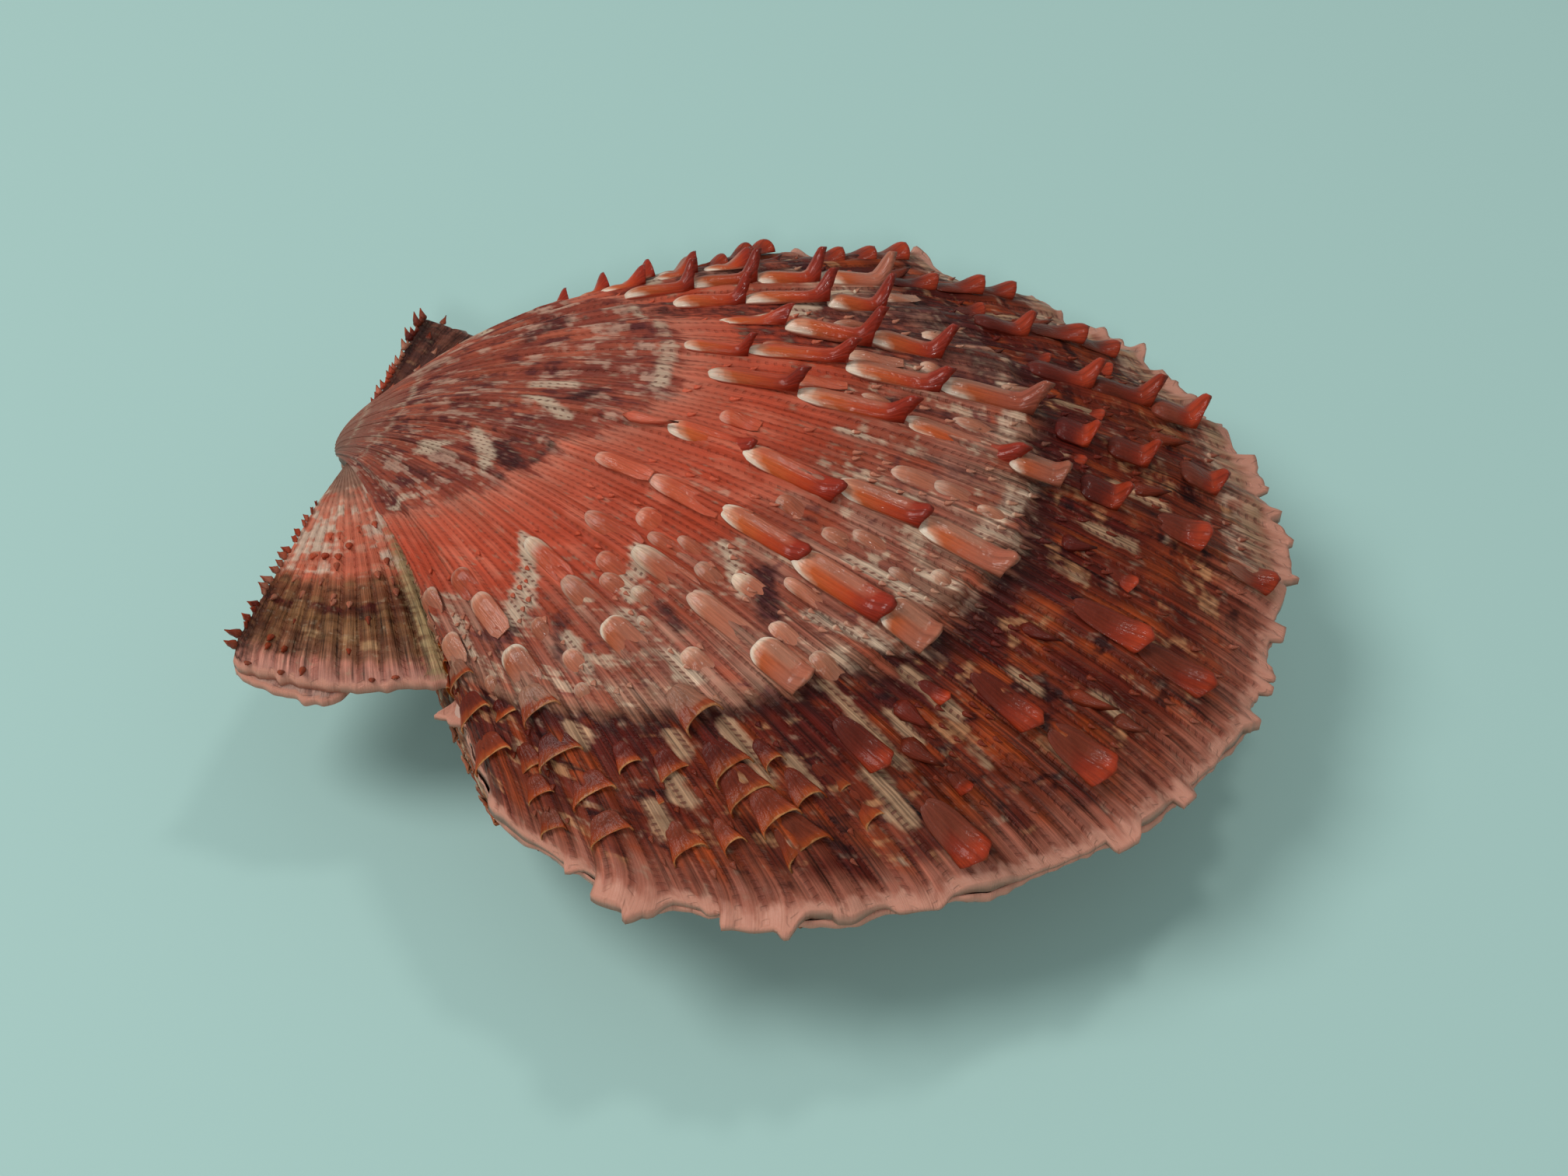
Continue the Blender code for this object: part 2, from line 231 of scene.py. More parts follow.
@dataclass(frozen=True)
class ValveForm:
    """The rounding of one valve and the relief on its outside."""

    side: Side
    coil: float
    bulge: float
    skew: float
    rib_height: float
    riblet_height: float
    lobe: float
    rest_depth: float = 1.0
    plan: Planform = Planform()
    ribs: RibPlan = RibPlan()
    flank_sharpness: float = 1 / 0.15
    margin_thickness: float = 0.75 * MM
    gap: float = 0.08 * MM
    edge_thinning: float = 0.4 * MM
    wave_onset: int = 14
    early_stop: float = 0.345
    late_stop: float = 0.745
    last_stop: float = 0.9

    def smooth(self, fan: Array, stage: Array) -> Array:
        """Points of the outside with no ribs on it, as if this were the upper valve.

        Args:
            fan: Fan positions.
            stage: Growth stages.

        Returns:
            An array with x, y and z last.
        """
        fan, stage = np.broadcast_arrays(np.asarray(fan, float), np.asarray(stage, float))
        plan = self.plan
        margin_x, margin_y = plan.margin(fan)
        turn = self.coil * np.log(1 / np.maximum(stage, 1e-4))
        reach = stage * (margin_x - plan.beak_x)
        lean = plan.beak_lean * np.exp(-((stage / plan.beak_stage) ** 2))
        x = plan.beak_x - lean + reach * np.cos(turn)
        y = stage * margin_y * (1 - plan.waist * (1 - stage) * fan * fan)
        flank = np.maximum(1 - np.abs(fan) ** self.flank_sharpness, 0.0)
        peak = self.skew / (self.skew + 1)
        swell = stage**self.skew * (1 - stage) / (peak**self.skew * (1 - peak))
        z = reach * np.sin(turn) + self.bulge * flank * swell + self.margin_thickness * stage**4
        return np.stack([x, y, z], -1)

    def outward(self, fan: Array, stage: Array) -> Array:
        """Unit normals of the smooth outside, pointing out of the shell.

        Args:
            fan: Fan positions.
            stage: Growth stages.

        Returns:
            An array with x, y and z last.
        """
        fan, stage = np.broadcast_arrays(np.asarray(fan, float), np.asarray(stage, float))
        step = 0.004
        low, high = np.maximum(fan - step, -1.0), np.minimum(fan + step, 1.0)
        across = self.smooth(high, stage) - self.smooth(low, stage)
        after, before = np.minimum(stage + step, 1.0), np.maximum(stage - step, 1e-3)
        along = self.smooth(fan, after) - self.smooth(fan, before)
        return unit(np.cross(along, across))

    def age(self, fan: Array, stage: Array) -> Array:
        """Stage, shifted so that each halt in growth has the same age all round the fan.

        Args:
            fan: Fan positions.
            stage: Growth stages.

        Returns:
            The age at each place, as a stage.
        """
        late_start = 0.05 * fade(fan, -0.35, 0.05) * fade(stage, 0.2, 0.34) * fade(stage, 0.62, 0.42)
        wander = 0.01 * drift(np.asarray(fan) * 9, np.asarray(stage) * 5, 3)
        steps = 0.007 * drift(np.round(self.ribs.riblet(fan)) * 3.1, np.asarray(stage) * 8, 4)
        return stage - late_start + wander + steps

    def wave(self, fan: Array) -> Array:
        """Height of the wavy line in which the two valves' margins meet."""
        cord = np.cos(np.pi * self.ribs.riblet(fan))
        return (0.2 * self.ribs.crest(fan) + 0.07 * cord + 0.1 * drift(fan * 14, fan * 0, 5)) * MM

    def frill(self, fan: Array, stage: Array) -> Array:
        """How far the margin's lobes and small teeth stand out past its smooth line.

        Args:
            fan: Fan positions.
            stage: Growth stages.

        Returns:
            Distances in metres.
        """
        level = stage * 0
        broad = fade(drift(fan * 34, level, 22), 0.22, 0.5) * (0.8 + 0.2 * drift(fan * 7, level, 25))
        teeth = np.clip(drift(fan * 86, level, 23), 0, 1) * fade(drift(fan * 9, level, 24), -0.4, 0.1)
        gentle = 0.12 * self.ribs.crest(fan) + 0.1 * drift(fan * 38, level, 21)
        return self.lobe * (0.9 * broad * stage**100 + 0.6 * teeth * stage**160 + gentle * stage**20)

    def sculpted(self, fan: Array, stage: Array) -> Array:
        """Points of the outside with its ribs, riblets, growth halts and frilled margin.

        Args:
            fan: Fan positions.
            stage: Growth stages.

        Returns:
            An array with x, y and z last, as if this were the upper valve.
        """
        fan, stage = np.broadcast_arrays(np.asarray(fan, float), np.asarray(stage, float))
        grown = np.clip(stage / 0.3, 0, 1)
        crest = self.ribs.crest(fan)
        count = self.ribs.riblet(fan)
        cord = 0.5 + 0.5 * np.cos(2 * np.pi * count)
        age = self.age(fan, stage)
        height = self.rib_height * crest**0.7 * grown
        uneven = 0.7 + 0.5 * drift(np.round(count) * 5.3, stage * 6, 13)
        sunk = 1 - 0.5 * fade(stage, 0.88, 0.97)
        worn = 1 - (0.4 + 0.4 * fade(fan, 0.3, -0.1)) * fade(stage, 0.62, 0.42)
        shown = (0.3 + 0.7 * stage) * sunk * fade(stage, 0.03, 0.2)
        height += self.riblet_height * cord * uneven * worn * shown
        halts = ((self.early_stop, 0.12 * MM), (self.late_stop, 0.16 * MM), (self.last_stop, 0.08 * MM))
        for halt, step in halts:
            before = fade(halt - age, -0.002, 0.005) * np.exp(-(((halt - age) / 0.045) ** 2))
            height += step * before
        height += 0.05 * MM * drift(fan * 60, age * 110, 11) * fade(stage, 0.1, 0.4)
        height += 0.12 * MM * drift(fan * 17, stage * 13, 12) * fade(stage, 0.3, 0.6)
        points = self.smooth(fan, stage) + self.outward(fan, stage) * height[..., None]
        points += self.plan.away(fan) * self.frill(fan, stage)[..., None]
        wave = self.side.value * self.wave(fan) * stage**self.wave_onset
        points[..., 2] += wave - self.edge_thinning * stage**40
        points[..., 2] = np.minimum(points[..., 2], self.rest_depth)
        return points


def curve_through(posts: Sequence[tuple[float, float]], share: Array) -> Array:
    """A smooth curve through evenly spaced posts.

    Args:
        posts: Points that the curve meets.
        share: Where to read it, from 0 at the first post to 1 at the last.

    Returns:
        An array with x and y last.
    """
    knots = np.array(posts, float)
    knots = np.concatenate([[2 * knots[0] - knots[1]], knots, [2 * knots[-1] - knots[-2]]])
    place = np.clip(share, 0, 1) * (len(posts) - 1)
    start = np.minimum(np.floor(place), len(posts) - 2).astype(int)
    part = (place - start)[..., None]
    before, first, second, after = (knots[start + offset] for offset in range(4))
    slope_in, slope_out = (second - before) / 2, (after - first) / 2
    bend = 2 * (first - second) + slope_in + slope_out
    return ((bend * part + (second - first - slope_in - bend)) * part + slope_in) * part + first


@dataclass(frozen=True)
class EarForm:
    """A flat ear beside the beak; hand is -1 for the front ear and 1 for the back one."""

    valve: ValveForm
    corners: tuple[tuple[float, float], ...]
    hand: int
    cords: float
    cord_height: float
    hinge_thickness: float = 1.25 * MM
    lip: float = 0.55 * MM
    fall: float = 1.5
    step: float = 0.85
    overlap: float = 2.6 * MM

    def outline(self, share: Array) -> tuple[Array, Array]:
        """The ear's own margin; a share below 0 lies tucked under the disc.

        Args:
            share: Positions between the crease and the hinge line.

        Returns:
            The x and the y of the margin.
        """
        points = curve_through(self.corners, share) * MM
        tuck = np.clip(-np.asarray(share), 0, 1) * self.overlap
        return points[..., 0] + tuck, self.hand * (points[..., 1] - tuck)

    def surface(self, share: Array, stage: Array) -> Array:
        """Points of the ear's outside.

        Args:
            share: 0 at the crease beside the disc, 1 along the hinge line.
            stage: Growth stages.

        Returns:
            An array with x, y and z last, as if this were the upper valve.
        """
        share, stage = np.broadcast_arrays(np.asarray(share, float), np.asarray(stage, float))
        plan = self.valve.plan
        corner_x, corner_y = self.outline(share)
        open_share = np.clip(share, 0, 1)
        near = (1 - open_share) ** self.fall
        reach = stage * (corner_x - plan.beak_x * (1 - open_share))
        turn = self.valve.coil * np.log(1 / np.maximum(stage, 1e-4))
        x = plan.beak_x * (1 - open_share) + reach * np.cos(turn)
        y = stage * corner_y * (1 - plan.waist * (1 - stage) * (1 - open_share))
        crease = self.valve.smooth(np.full_like(stage, -1.0), stage)[..., 2]
        hinge = self.hinge_thickness * np.minimum(0.4 + 2 * stage, 1.0)
        z = self.step * crease * near + hinge * (1 - near)
        z = np.where(share < 0, (1 + 0.3 * share) * z, z)
        z = z + self.relief(share, stage) * fade(stage, 0.05, 0.3)
        z = np.minimum(z, self.lip + (1 - stage) * 14 * MM)
        ragged = self.hand * 0.16 * MM * drift(share * 26, stage * 0, 31) * stage**20
        return np.stack([x, y + ragged, z], -1)

    def cord_count(self, share: Array) -> Array:
        """A count of the ear's radial cords, whole on each crest."""
        return np.asarray(share) * self.cords

    def relief(self, share: Array, stage: Array) -> Array:
        """Height of the radial cords, with a bead wherever a growth line crosses them.

        Args:
            share: Positions between the crease and the hinge line.
            stage: Growth stages.

        Returns:
            Heights in metres.
        """
        cord = 0.5 + 0.5 * np.cos(2 * np.pi * self.cord_count(share))
        bead = 0.72 + 0.28 * np.cos(2 * np.pi * (stage * 34 + 0.2 * drift(share * 9, stage * 4, 33)))
        lines = 0.05 * MM * drift(share * 5, stage * 60, 34)
        worn = 0.2 + 0.8 * fade(stage, 0.6, 0.72)
        return self.cord_height * cord * bead * worn * (0.3 + 0.7 * stage) + lines


UPPER = ValveForm(Side.UPPER, coil=0.42, bulge=2.0 * MM, skew=1.0, rib_height=0.5 * MM,
                  riblet_height=0.13 * MM, lobe=1.25 * MM)
LOWER = ValveForm(Side.LOWER, coil=0.27, bulge=3.95 * MM, skew=2.0, rib_height=0.45 * MM,
                  riblet_height=0.2 * MM, lobe=0.2 * MM, rest_depth=8.45 * MM)
UPPER_FRONT_EAR = EarForm(
    UPPER, ((12.5, 15.7), (9.5, 16.7), (6.2, 17.7), (2.7, 17.9), (0.0, 17.6)), -1, 11, 0.16 * MM
)
LOWER_FRONT_EAR = EarForm(
    LOWER,
    ((8.6, 10.4), (7.3, 12.0), (6.8, 14.0), (6.5, 17.2), (5.4, 18.4), (2.8, 18.3), (0.0, 17.6)),
    -1, 9, 0.14 * MM,
)
BACK_CORNERS = ((12.5, 15.7), (9.0, 13.7), (4.9, 12.1), (2.4, 12.5), (0.0, 12.9))
UPPER_BACK_EAR = EarForm(UPPER, BACK_CORNERS, 1, 8, 0.16 * MM)
LOWER_BACK_EAR = EarForm(LOWER, BACK_CORNERS, 1, 8, 0.14 * MM)


@dataclass(frozen=True)
class ShellFrame:
    """Carries points from the shell's own frame to where the solids are."""

    ligament_corner: tuple[float, float, float] = (0.1 * MM, -11.0 * MM, -1.0 * MM)

    def offset(self) -> Array:
        """How far the shell's own origin lies from the world origin."""
        return np.array(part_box("hinge_ligament")[0]) - np.array(self.ligament_corner)

    def place(self, points: Array, side: Side) -> Array:
        """Put upper-valve style points on their own side and in the world."""
        return self.turn(points, side) + self.offset()

    @staticmethod
    def turn(vectors: Array, side: Side) -> Array:
        """Put directions on the valve's own side of the meeting plane."""
        return np.asarray(vectors) * np.array([1.0, 1.0, side.value])


# Markings, and strokes of painted shade, that have a place of their own


@dataclass(frozen=True)
class Streak:
    """One soft-edged stroke between two places on the valve; most are markings, and some dark ones are
    painted shade.
    """

    mark: Mark
    start: tuple[float, float]
    end: tuple[float, float]
    width: float
    strength: float = 1.0

    def mask(self, fan: Array, stage: Array) -> Array:
        """How strongly the stroke covers each place, from 0 to 1.

        Args:
            fan: Fan positions.
            stage: Growth stages.

        Returns:
            The cover at each place.
        """
        middle = (self.start[1] + self.end[1]) / 2
        scale = np.array([FAN_LENGTH * max(middle, 0.1), STAGE_LENGTH])
        first, last = np.array(self.start) * scale, np.array(self.end) * scale
        way = last - first
        places = np.stack(np.broadcast_arrays(fan, stage), -1) * scale
        along = np.clip(((places - first) @ way) / max(way @ way, 1e-12), 0, 1)
        away = np.linalg.norm(places - first - along[..., None] * way, axis=-1)
        return self.strength * fade(away, self.width * 1.15, self.width * 0.35)


def paint(streaks: Sequence[Streak], mark: Mark, fan: Array, stage: Array) -> Array:
    """The strongest of the strokes of one kind at each place.

    Args:
        streaks: The strokes.
        mark: The kind to paint.
        fan: Fan positions.
        stage: Growth stages.

    Returns:
        Values from 0 to 1.
    """
    fan, stage = np.broadcast_arrays(np.asarray(fan, float), np.asarray(stage, float))
    total = np.zeros(fan.shape)
    for streak in streaks:
        if streak.mark is mark:
            total = np.maximum(total, streak.mask(fan, stage))
    return total


def strokes(mark: Mark, *rows: tuple[float, ...]) -> tuple[Streak, ...]:
    """Streaks of one kind.

    Args:
        mark: What they do to the colour.
        rows: Fan and stage of the start and of the end, width in millimetres and any strength.

    Returns:
        One streak for each row.
    """
    return tuple(Streak(mark, row[:2], row[2:4], row[4] * MM, *row[5:]) for row in rows)


UPPER_STREAKS = (
    # The pale right end of the margin
    *strokes(
        Mark.GOLD,
        (0.05, 0.985, 0.75, 0.985, 1.7, 0.6),
    ),
    *strokes(
        Mark.PALE,
        (0.05, 0.965, 0.78, 0.965, 1.6, 0.45),
    ),
    # The young shell
    *strokes(
        Mark.PALE,
        (-0.6, 0.07, 0.6, 0.07, 0.3, 0.6), (-0.8, 0.13, 0.7, 0.135, 0.35, 0.55),
        (-0.52, 0.215, -0.48, 0.235, 0.8), (-0.36, 0.25, -0.43, 0.285, 0.55),
        (-0.43, 0.285, -0.50, 0.315, 0.5), (-0.14, 0.275, -0.2, 0.32, 0.45),
        (-0.05, 0.265, -0.04, 0.305, 0.5, 0.8), (-0.72, 0.3, -0.82, 0.33, 0.5, 0.8),
        (0.0, 0.385, 0.16, 0.388, 0.6, 0.8), (0.25, 0.385, 0.45, 0.38, 0.5, 0.6),
    ),
    *strokes(
        Mark.DARK,
        (-0.40, 0.285, -0.44, 0.325, 0.9, 0.9), (-0.13, 0.305, -0.06, 0.33, 0.6, 0.8),
        (-0.5, 0.34, -0.3, 0.335, 0.4, 0.7), (0.3, 0.25, 0.45, 0.3, 0.8, 0.7),
        (-0.9, 0.34, -0.97, 0.4, 0.5, 0.6),
    ),
    # Slanting pale chains on the coral band
    *strokes(
        Mark.PALE,
        (-0.60, 0.445, -0.655, 0.5, 0.5), (-0.655, 0.5, -0.70, 0.555, 0.75),
        (-0.70, 0.555, -0.73, 0.585, 0.6), (-0.78, 0.545, -0.84, 0.56, 0.5, 0.8),
        (-0.475, 0.515, -0.515, 0.545, 0.5), (-0.53, 0.54, -0.56, 0.575, 0.5),
        (-0.365, 0.55, -0.395, 0.58, 0.45), (-0.395, 0.58, -0.43, 0.615, 0.5),
        (-0.58, 0.59, -0.585, 0.62, 0.65, 0.9), (-0.575, 0.66, -0.58, 0.7, 0.75, 0.9),
        (-0.27, 0.64, -0.265, 0.71, 0.6), (-0.225, 0.69, -0.22, 0.725, 0.5),
        (-0.39, 0.67, -0.36, 0.73, 0.7, 0.75), (-0.67, 0.61, -0.68, 0.67, 0.5, 0.8),
        (-0.82, 0.6, -0.83, 0.68, 0.6, 0.7), (-0.1, 0.6, -0.1, 0.66, 0.35, 0.7),
        (0.0, 0.56, 0.0, 0.6, 0.4, 0.8), (0.115, 0.52, 0.12, 0.56, 0.45, 0.7),
        (0.245, 0.56, 0.24, 0.66, 0.45, 0.7), (-0.12, 0.715, 0.0, 0.735, 0.7, 0.7),
        (0.1, 0.71, 0.25, 0.73, 0.7, 0.6),
    ),
    *strokes(
        Mark.DARK,
        (-0.37, 0.6, -0.43, 0.65, 0.8, 0.95), (-0.44, 0.65, -0.46, 0.69, 0.5, 0.6),
        (-0.53, 0.59, -0.54, 0.63, 0.5, 0.7), (-0.66, 0.58, -0.7, 0.65, 0.55, 0.7),
        (-0.73, 0.6, -0.78, 0.66, 0.45, 0.7), (-0.87, 0.62, -0.92, 0.7, 0.6, 0.7),
        (-0.235, 0.58, -0.25, 0.62, 0.4, 0.6),
    ),
    # The dark last season
    *strokes(
        Mark.GOLD,
        (-0.73, 0.765, -0.735, 0.79, 0.7), (-0.81, 0.83, -0.815, 0.86, 0.6, 0.8),
        (-0.67, 0.825, -0.672, 0.865, 0.75), (-0.585, 0.765, -0.59, 0.84, 0.7),
        (-0.555, 0.82, -0.557, 0.86, 0.5), (-0.43, 0.8, -0.435, 0.84, 0.55),
        (-0.395, 0.865, -0.4, 0.89, 0.5, 0.7), (-0.37, 0.77, -0.375, 0.83, 0.75),
        (-0.28, 0.82, -0.283, 0.85, 0.55, 0.9), (-0.24, 0.885, -0.243, 0.92, 0.6, 0.9),
        (-0.1, 0.79, -0.1, 0.81, 0.5, 0.8), (0.0, 0.8, 0.0, 0.845, 0.8),
        (0.1, 0.825, 0.1, 0.875, 0.75), (0.25, 0.79, 0.25, 0.82, 0.6),
        (0.32, 0.8, 0.36, 0.9, 0.8), (0.5, 0.8, 0.52, 0.88, 0.8),
        (0.64, 0.78, 0.65, 0.84, 0.7), (0.77, 0.83, 0.78, 0.89, 0.7),
    ),
    # Painted shade on the side that faces away from the light: broad dark strokes, and narrower ones along
    # the valleys between its ribs
    *strokes(
        Mark.DARK,
        (0.28, 0.5, 0.3, 0.74, 3.0, 0.62), (0.45, 0.42, 0.45, 0.74, 3.6, 0.7),
        (0.68, 0.5, 0.68, 0.74, 4.0, 0.65), (0.12, 0.6, 0.12, 0.7, 0.6, 0.75),
        (0.245, 0.62, 0.25, 0.73, 0.8, 0.8), (0.36, 0.6, 0.38, 0.74, 1.0, 0.85),
        (0.52, 0.66, 0.52, 0.74, 1.2, 0.8), (0.64, 0.6, 0.64, 0.7, 0.9, 0.7),
        (0.0, 0.64, 0.0, 0.7, 0.4, 0.55), (0.46, 0.58, 0.5, 0.66, 0.7, 0.8),
        (0.7, 0.62, 0.76, 0.7, 0.7, 0.8),
    ),
    # More gold and pale markings
    *strokes(
        Mark.GOLD,
        (-0.9, 0.8, -0.905, 0.84, 0.6, 0.9), (-0.7, 0.87, -0.705, 0.91, 0.7, 0.9),
        (-0.64, 0.77, -0.645, 0.8, 0.6, 0.9), (-0.5, 0.86, -0.51, 0.92, 0.8, 0.9),
        (-0.46, 0.75, -0.47, 0.86, 0.6, 0.9), (-0.33, 0.9, -0.33, 0.94, 0.6, 0.7),
    ),
    *strokes(
        Mark.PALE,
        (0.38, 0.5, 0.44, 0.58, 0.6), (0.5, 0.6, 0.54, 0.68, 0.7),
        (0.66, 0.5, 0.76, 0.58, 0.55), (0.8, 0.6, 0.84, 0.7, 0.6),
        (0.6, 0.23, 0.7, 0.27, 0.5),
    ),
)

LOWER_STREAKS = tuple(
    Streak(
        Mark.PALE,
        (-0.93 + 0.155 * column + 0.03 * math.sin(7 * row), 0.3 + 0.115 * row),
        (-0.93 + 0.155 * column + 0.03 * math.sin(7 * row), 0.33 + 0.115 * row),
        (0.55 + 0.25 * math.sin(3 * column + 5 * row)) * MM,
    )
    for column in range(13)
    for row in range(6)
    if math.sin(11 * column + 4 * row) > -0.2
)


# Meshes


def new_mesh(name: str, points: Array, faces: list[list[int]]) -> Mesh:
    """A closed mesh with its faces turned outwards.

    Args:
        name: Name of the mesh.
        points: Corner points, in metres.
        faces: Corner numbers of each face.

    Returns:
        The new mesh, shaded smooth.
    """
    mesh = bpy.data.meshes.new(name)
    mesh.from_pydata(points.tolist(), [], faces)
    shape = bmesh.new()
    shape.from_mesh(mesh)
    bmesh.ops.recalc_face_normals(shape, faces=shape.faces)
    shape.to_mesh(mesh)
    shape.free()
    mesh.shade_smooth()
    return mesh


def new_object(name: str, mesh: Mesh) -> Object:
    """Link a mesh into the scene as a new object."""
    obj = bpy.data.objects.new(name, mesh)
    bpy.context.scene.collection.objects.link(obj)
    return obj


def add_values(mesh: Mesh, name: str, values: Array) -> None:
    """Store one number, or one vector, for each point of a mesh.

    Args:
        mesh: The mesh.
        name: Name of the values.
        values: Numbers, or rows of three.
    """
    values = np.asarray(values)
    kind = "INT" if values.dtype.kind == "i" else "FLOAT"
    kind = "FLOAT_VECTOR" if values.ndim == 2 else kind
    values = values if kind == "INT" else values.astype(np.float32)
    layer = mesh.attributes.new(name, kind, "POINT")
    layer.data.foreach_set("vector" if values.ndim == 2 else "value", values.ravel())


def add_growth_map(mesh: Mesh, across: Array, along: Array) -> None:
    """Give a mesh its own UV map, in which the pattern of growth is straight.

    Args:
        mesh: The mesh.
        across: Fan position of each point.
        along: Stage of each point.
    """
    layer = mesh.uv_layers.new(name=GROWTH_MAP)
    corner_points = np.empty(len(mesh.loops), np.int32)
    mesh.loops.foreach_get("vertex_index", corner_points)
    layer.data.foreach_set("uv", np.stack([across, along], -1)[corner_points].ravel())


def grid_faces(rows: int, columns: int, start: int = 0) -> list[list[int]]:
    """Four-sided faces of a grid of points.

    Args:
        rows: Number of rows of points.
        columns: Number of points in a row.
        start: Number of the grid's first point.

    Returns:
        Corner numbers of each face.
    """
    row, column = np.meshgrid(np.arange(rows - 1), np.arange(columns - 1), indexing="ij")
    first = (start + row * columns + column).ravel()
    return np.stack([first, first + 1, first + columns + 1, first + columns], -1).tolist()


def border_loop(rows: int, columns: int) -> Array:
    """Numbers of a grid's border points, in order all the way round.

    Args:
        rows: Number of rows of points.
        columns: Number of points in a row.

    Returns:
        The numbers, with no point twice.
    """
    left = np.arange(rows) * columns
    last = (rows - 1) * columns + np.arange(1, columns)
    right = np.arange(rows - 2, -1, -1) * columns + columns - 1
    first = np.arange(columns - 2, 0, -1)
    return np.concatenate([left, last, right, first])


def stitch(first: Array, second: Array) -> list[list[int]]:
    """Faces between two closed loops with the same number of points."""
    following, opposite = np.roll(first, -1), np.roll(second, -1)
    return np.stack([first, following, opposite, second], -1).tolist()


def thick_sheet(name: str, outer: Array, inner: Array) -> Mesh:
    """A closed mesh between an outer and an inner grid of points.

    Args:
        name: Name of the mesh.
        outer: Points of the outside, as rows, columns and coordinates.
        inner: Points of the inside, in the same order.

    Returns:
        The new mesh.
    """
    rows, columns = outer.shape[:2]
    count = rows * columns
    loop = border_loop(rows, columns)
    faces = grid_faces(rows, columns) + grid_faces(rows, columns, count) + stitch(loop, loop + count)
    return new_mesh(name, np.concatenate([outer.reshape(-1, 3), inner.reshape(-1, 3)]), faces)


# Shader nodes

Plug = Any


class Wiring:
    """Adds nodes to one tree and joins them."""

    def __init__(self, tree: NodeTree) -> None:
        """Start on a tree."""
        self.tree = tree

    def add(self, kind: str, **settings: Any) -> Node:
        """Add a node and set its properties.

        Args:
            kind: The node's type.
            settings: Its properties.

        Returns:
            The new node.
        """
        node = self.tree.nodes.new(kind)
        for name, value in settings.items():
            setattr(node, name, value)
        return node

    def plug(self, value: Plug, socket: NodeSocket) -> None:
        """Link an output into a socket, or set the socket's own value.

        Args:
            value: An output, a number or a colour.
            socket: The input.
        """
        if isinstance(value, NodeSocket):
            self.tree.links.new(value, socket)
        elif socket.type == "RGBA" and len(value) == 3:
            socket.default_value = (*value, 1.0)
        else:
            socket.default_value = value

    def math(self, operation: str, first: Plug, second: Plug = 0.0, clamp: bool = False) -> Plug:
        """One step of arithmetic.

        Args:
            operation: What is worked out.
            first: First number.
            second: Second number.
            clamp: Whether the result stays between 0 and 1.

        Returns:
            The result's output.
        """
        node = self.add("ShaderNodeMath", operation=operation, use_clamp=clamp)
        self.plug(first, node.inputs[0])
        self.plug(second, node.inputs[1])
        return node.outputs[0]

    def times(self, first: Plug, second: Plug) -> Plug:
        """Multiply two numbers."""
        return self.math("MULTIPLY", first, second)

    def plus(self, first: Plug, second: Plug) -> Plug:
        """Add two numbers."""
        return self.math("ADD", first, second)

    def minus(self, first: Plug, second: Plug) -> Plug:
        """Take the second number from the first."""
        return self.math("SUBTRACT", first, second)

    def scaled(self, value: Plug, factor: Plug, offset: Plug) -> Plug:
        """Multiply a number by a factor and add an offset.

        Args:
            value: The number.
            factor: What it is multiplied by.
            offset: What is added.

        Returns:
            The result's output.
        """
        result = self.math("MULTIPLY_ADD", value, factor)
        self.plug(offset, result.node.inputs[2])
        return result

    def shade(self, colour: Plug, level: Plug) -> Plug:
        """Multiply a colour by one number."""
        return self.blend(1.0, colour, self.vector(level, level, level), "MULTIPLY")

    def bump(self, height: Plug, strength: float, depth: float) -> Plug:
        """A normal tilted by a height.

        Args:
            height: The height, from 0 to 1.
            strength: How strongly it tilts the normal.
            depth: Depth in metres that a height of 1 stands for.

        Returns:
            The normal's output.
        """
        node = self.add("ShaderNodeBump")
        return self.fill(node, Strength=strength, Distance=depth, Height=height).outputs[0]

    def blend(self, factor: Plug, first: Plug, second: Plug, way: str = "MIX") -> Plug:
        """Mix two colours.

        Args:
            factor: Share of the second colour.
            first: First colour.
            second: Second colour.
            way: How they are mixed.

        Returns:
            The colour's output.
        """
        node = self.add("ShaderNodeMix", data_type="RGBA", blend_type=way)
        self.plug(factor, node.inputs[0])
        self.plug(first, node.inputs[6])
        self.plug(second, node.inputs[7])
        return node.outputs[2]

    def ramp(self, factor: Plug, stops: Stops) -> Plug:
        """Read a colour from a row of stops.

        Args:
            factor: Where to read.
            stops: Places and colours.

        Returns:
            The colour's output.
        """
        node = self.add("ShaderNodeValToRGB")
        elements = node.color_ramp.elements
        for index, (place, colour) in enumerate(stops):
            element = elements[index] if index < 2 else elements.new(place)
            element.position = place
            element.color = (*colour, 1.0)
        self.plug(factor, node.inputs[0])
        return node.outputs[0]

    def ease(self, value: Plug, low: Plug, high: Plug) -> Plug:
        """Ease a value from 0 at low to 1 at high.

        Args:
            value: The value.
            low: Where the result leaves 0.
            high: Where it reaches 1.

        Returns:
            The result's output.
        """
        node = self.add("ShaderNodeMapRange", interpolation_type="SMOOTHSTEP")
        return self.fill(node, Value=value, From_Min=low, From_Max=high).outputs["Result"]

    def vector(self, x: Plug, y: Plug, z: Plug = 0.0) -> Plug:
        """Combine three numbers.

        Args:
            x: First number.
            y: Second number.
            z: Third number.

        Returns:
            The vector's output.
        """
        node = self.add("ShaderNodeCombineXYZ")
        for value, socket in zip((x, y, z), node.inputs):
            self.plug(value, socket)
        return node.outputs[0]

    def split(self, vector: Plug) -> tuple[Plug, Plug, Plug]:
        """Take a vector apart.

        Args:
            vector: The vector.

        Returns:
            Its x, y and z.
        """
        node = self.add("ShaderNodeSeparateXYZ")
        self.plug(vector, node.inputs[0])
        return node.outputs[0], node.outputs[1], node.outputs[2]

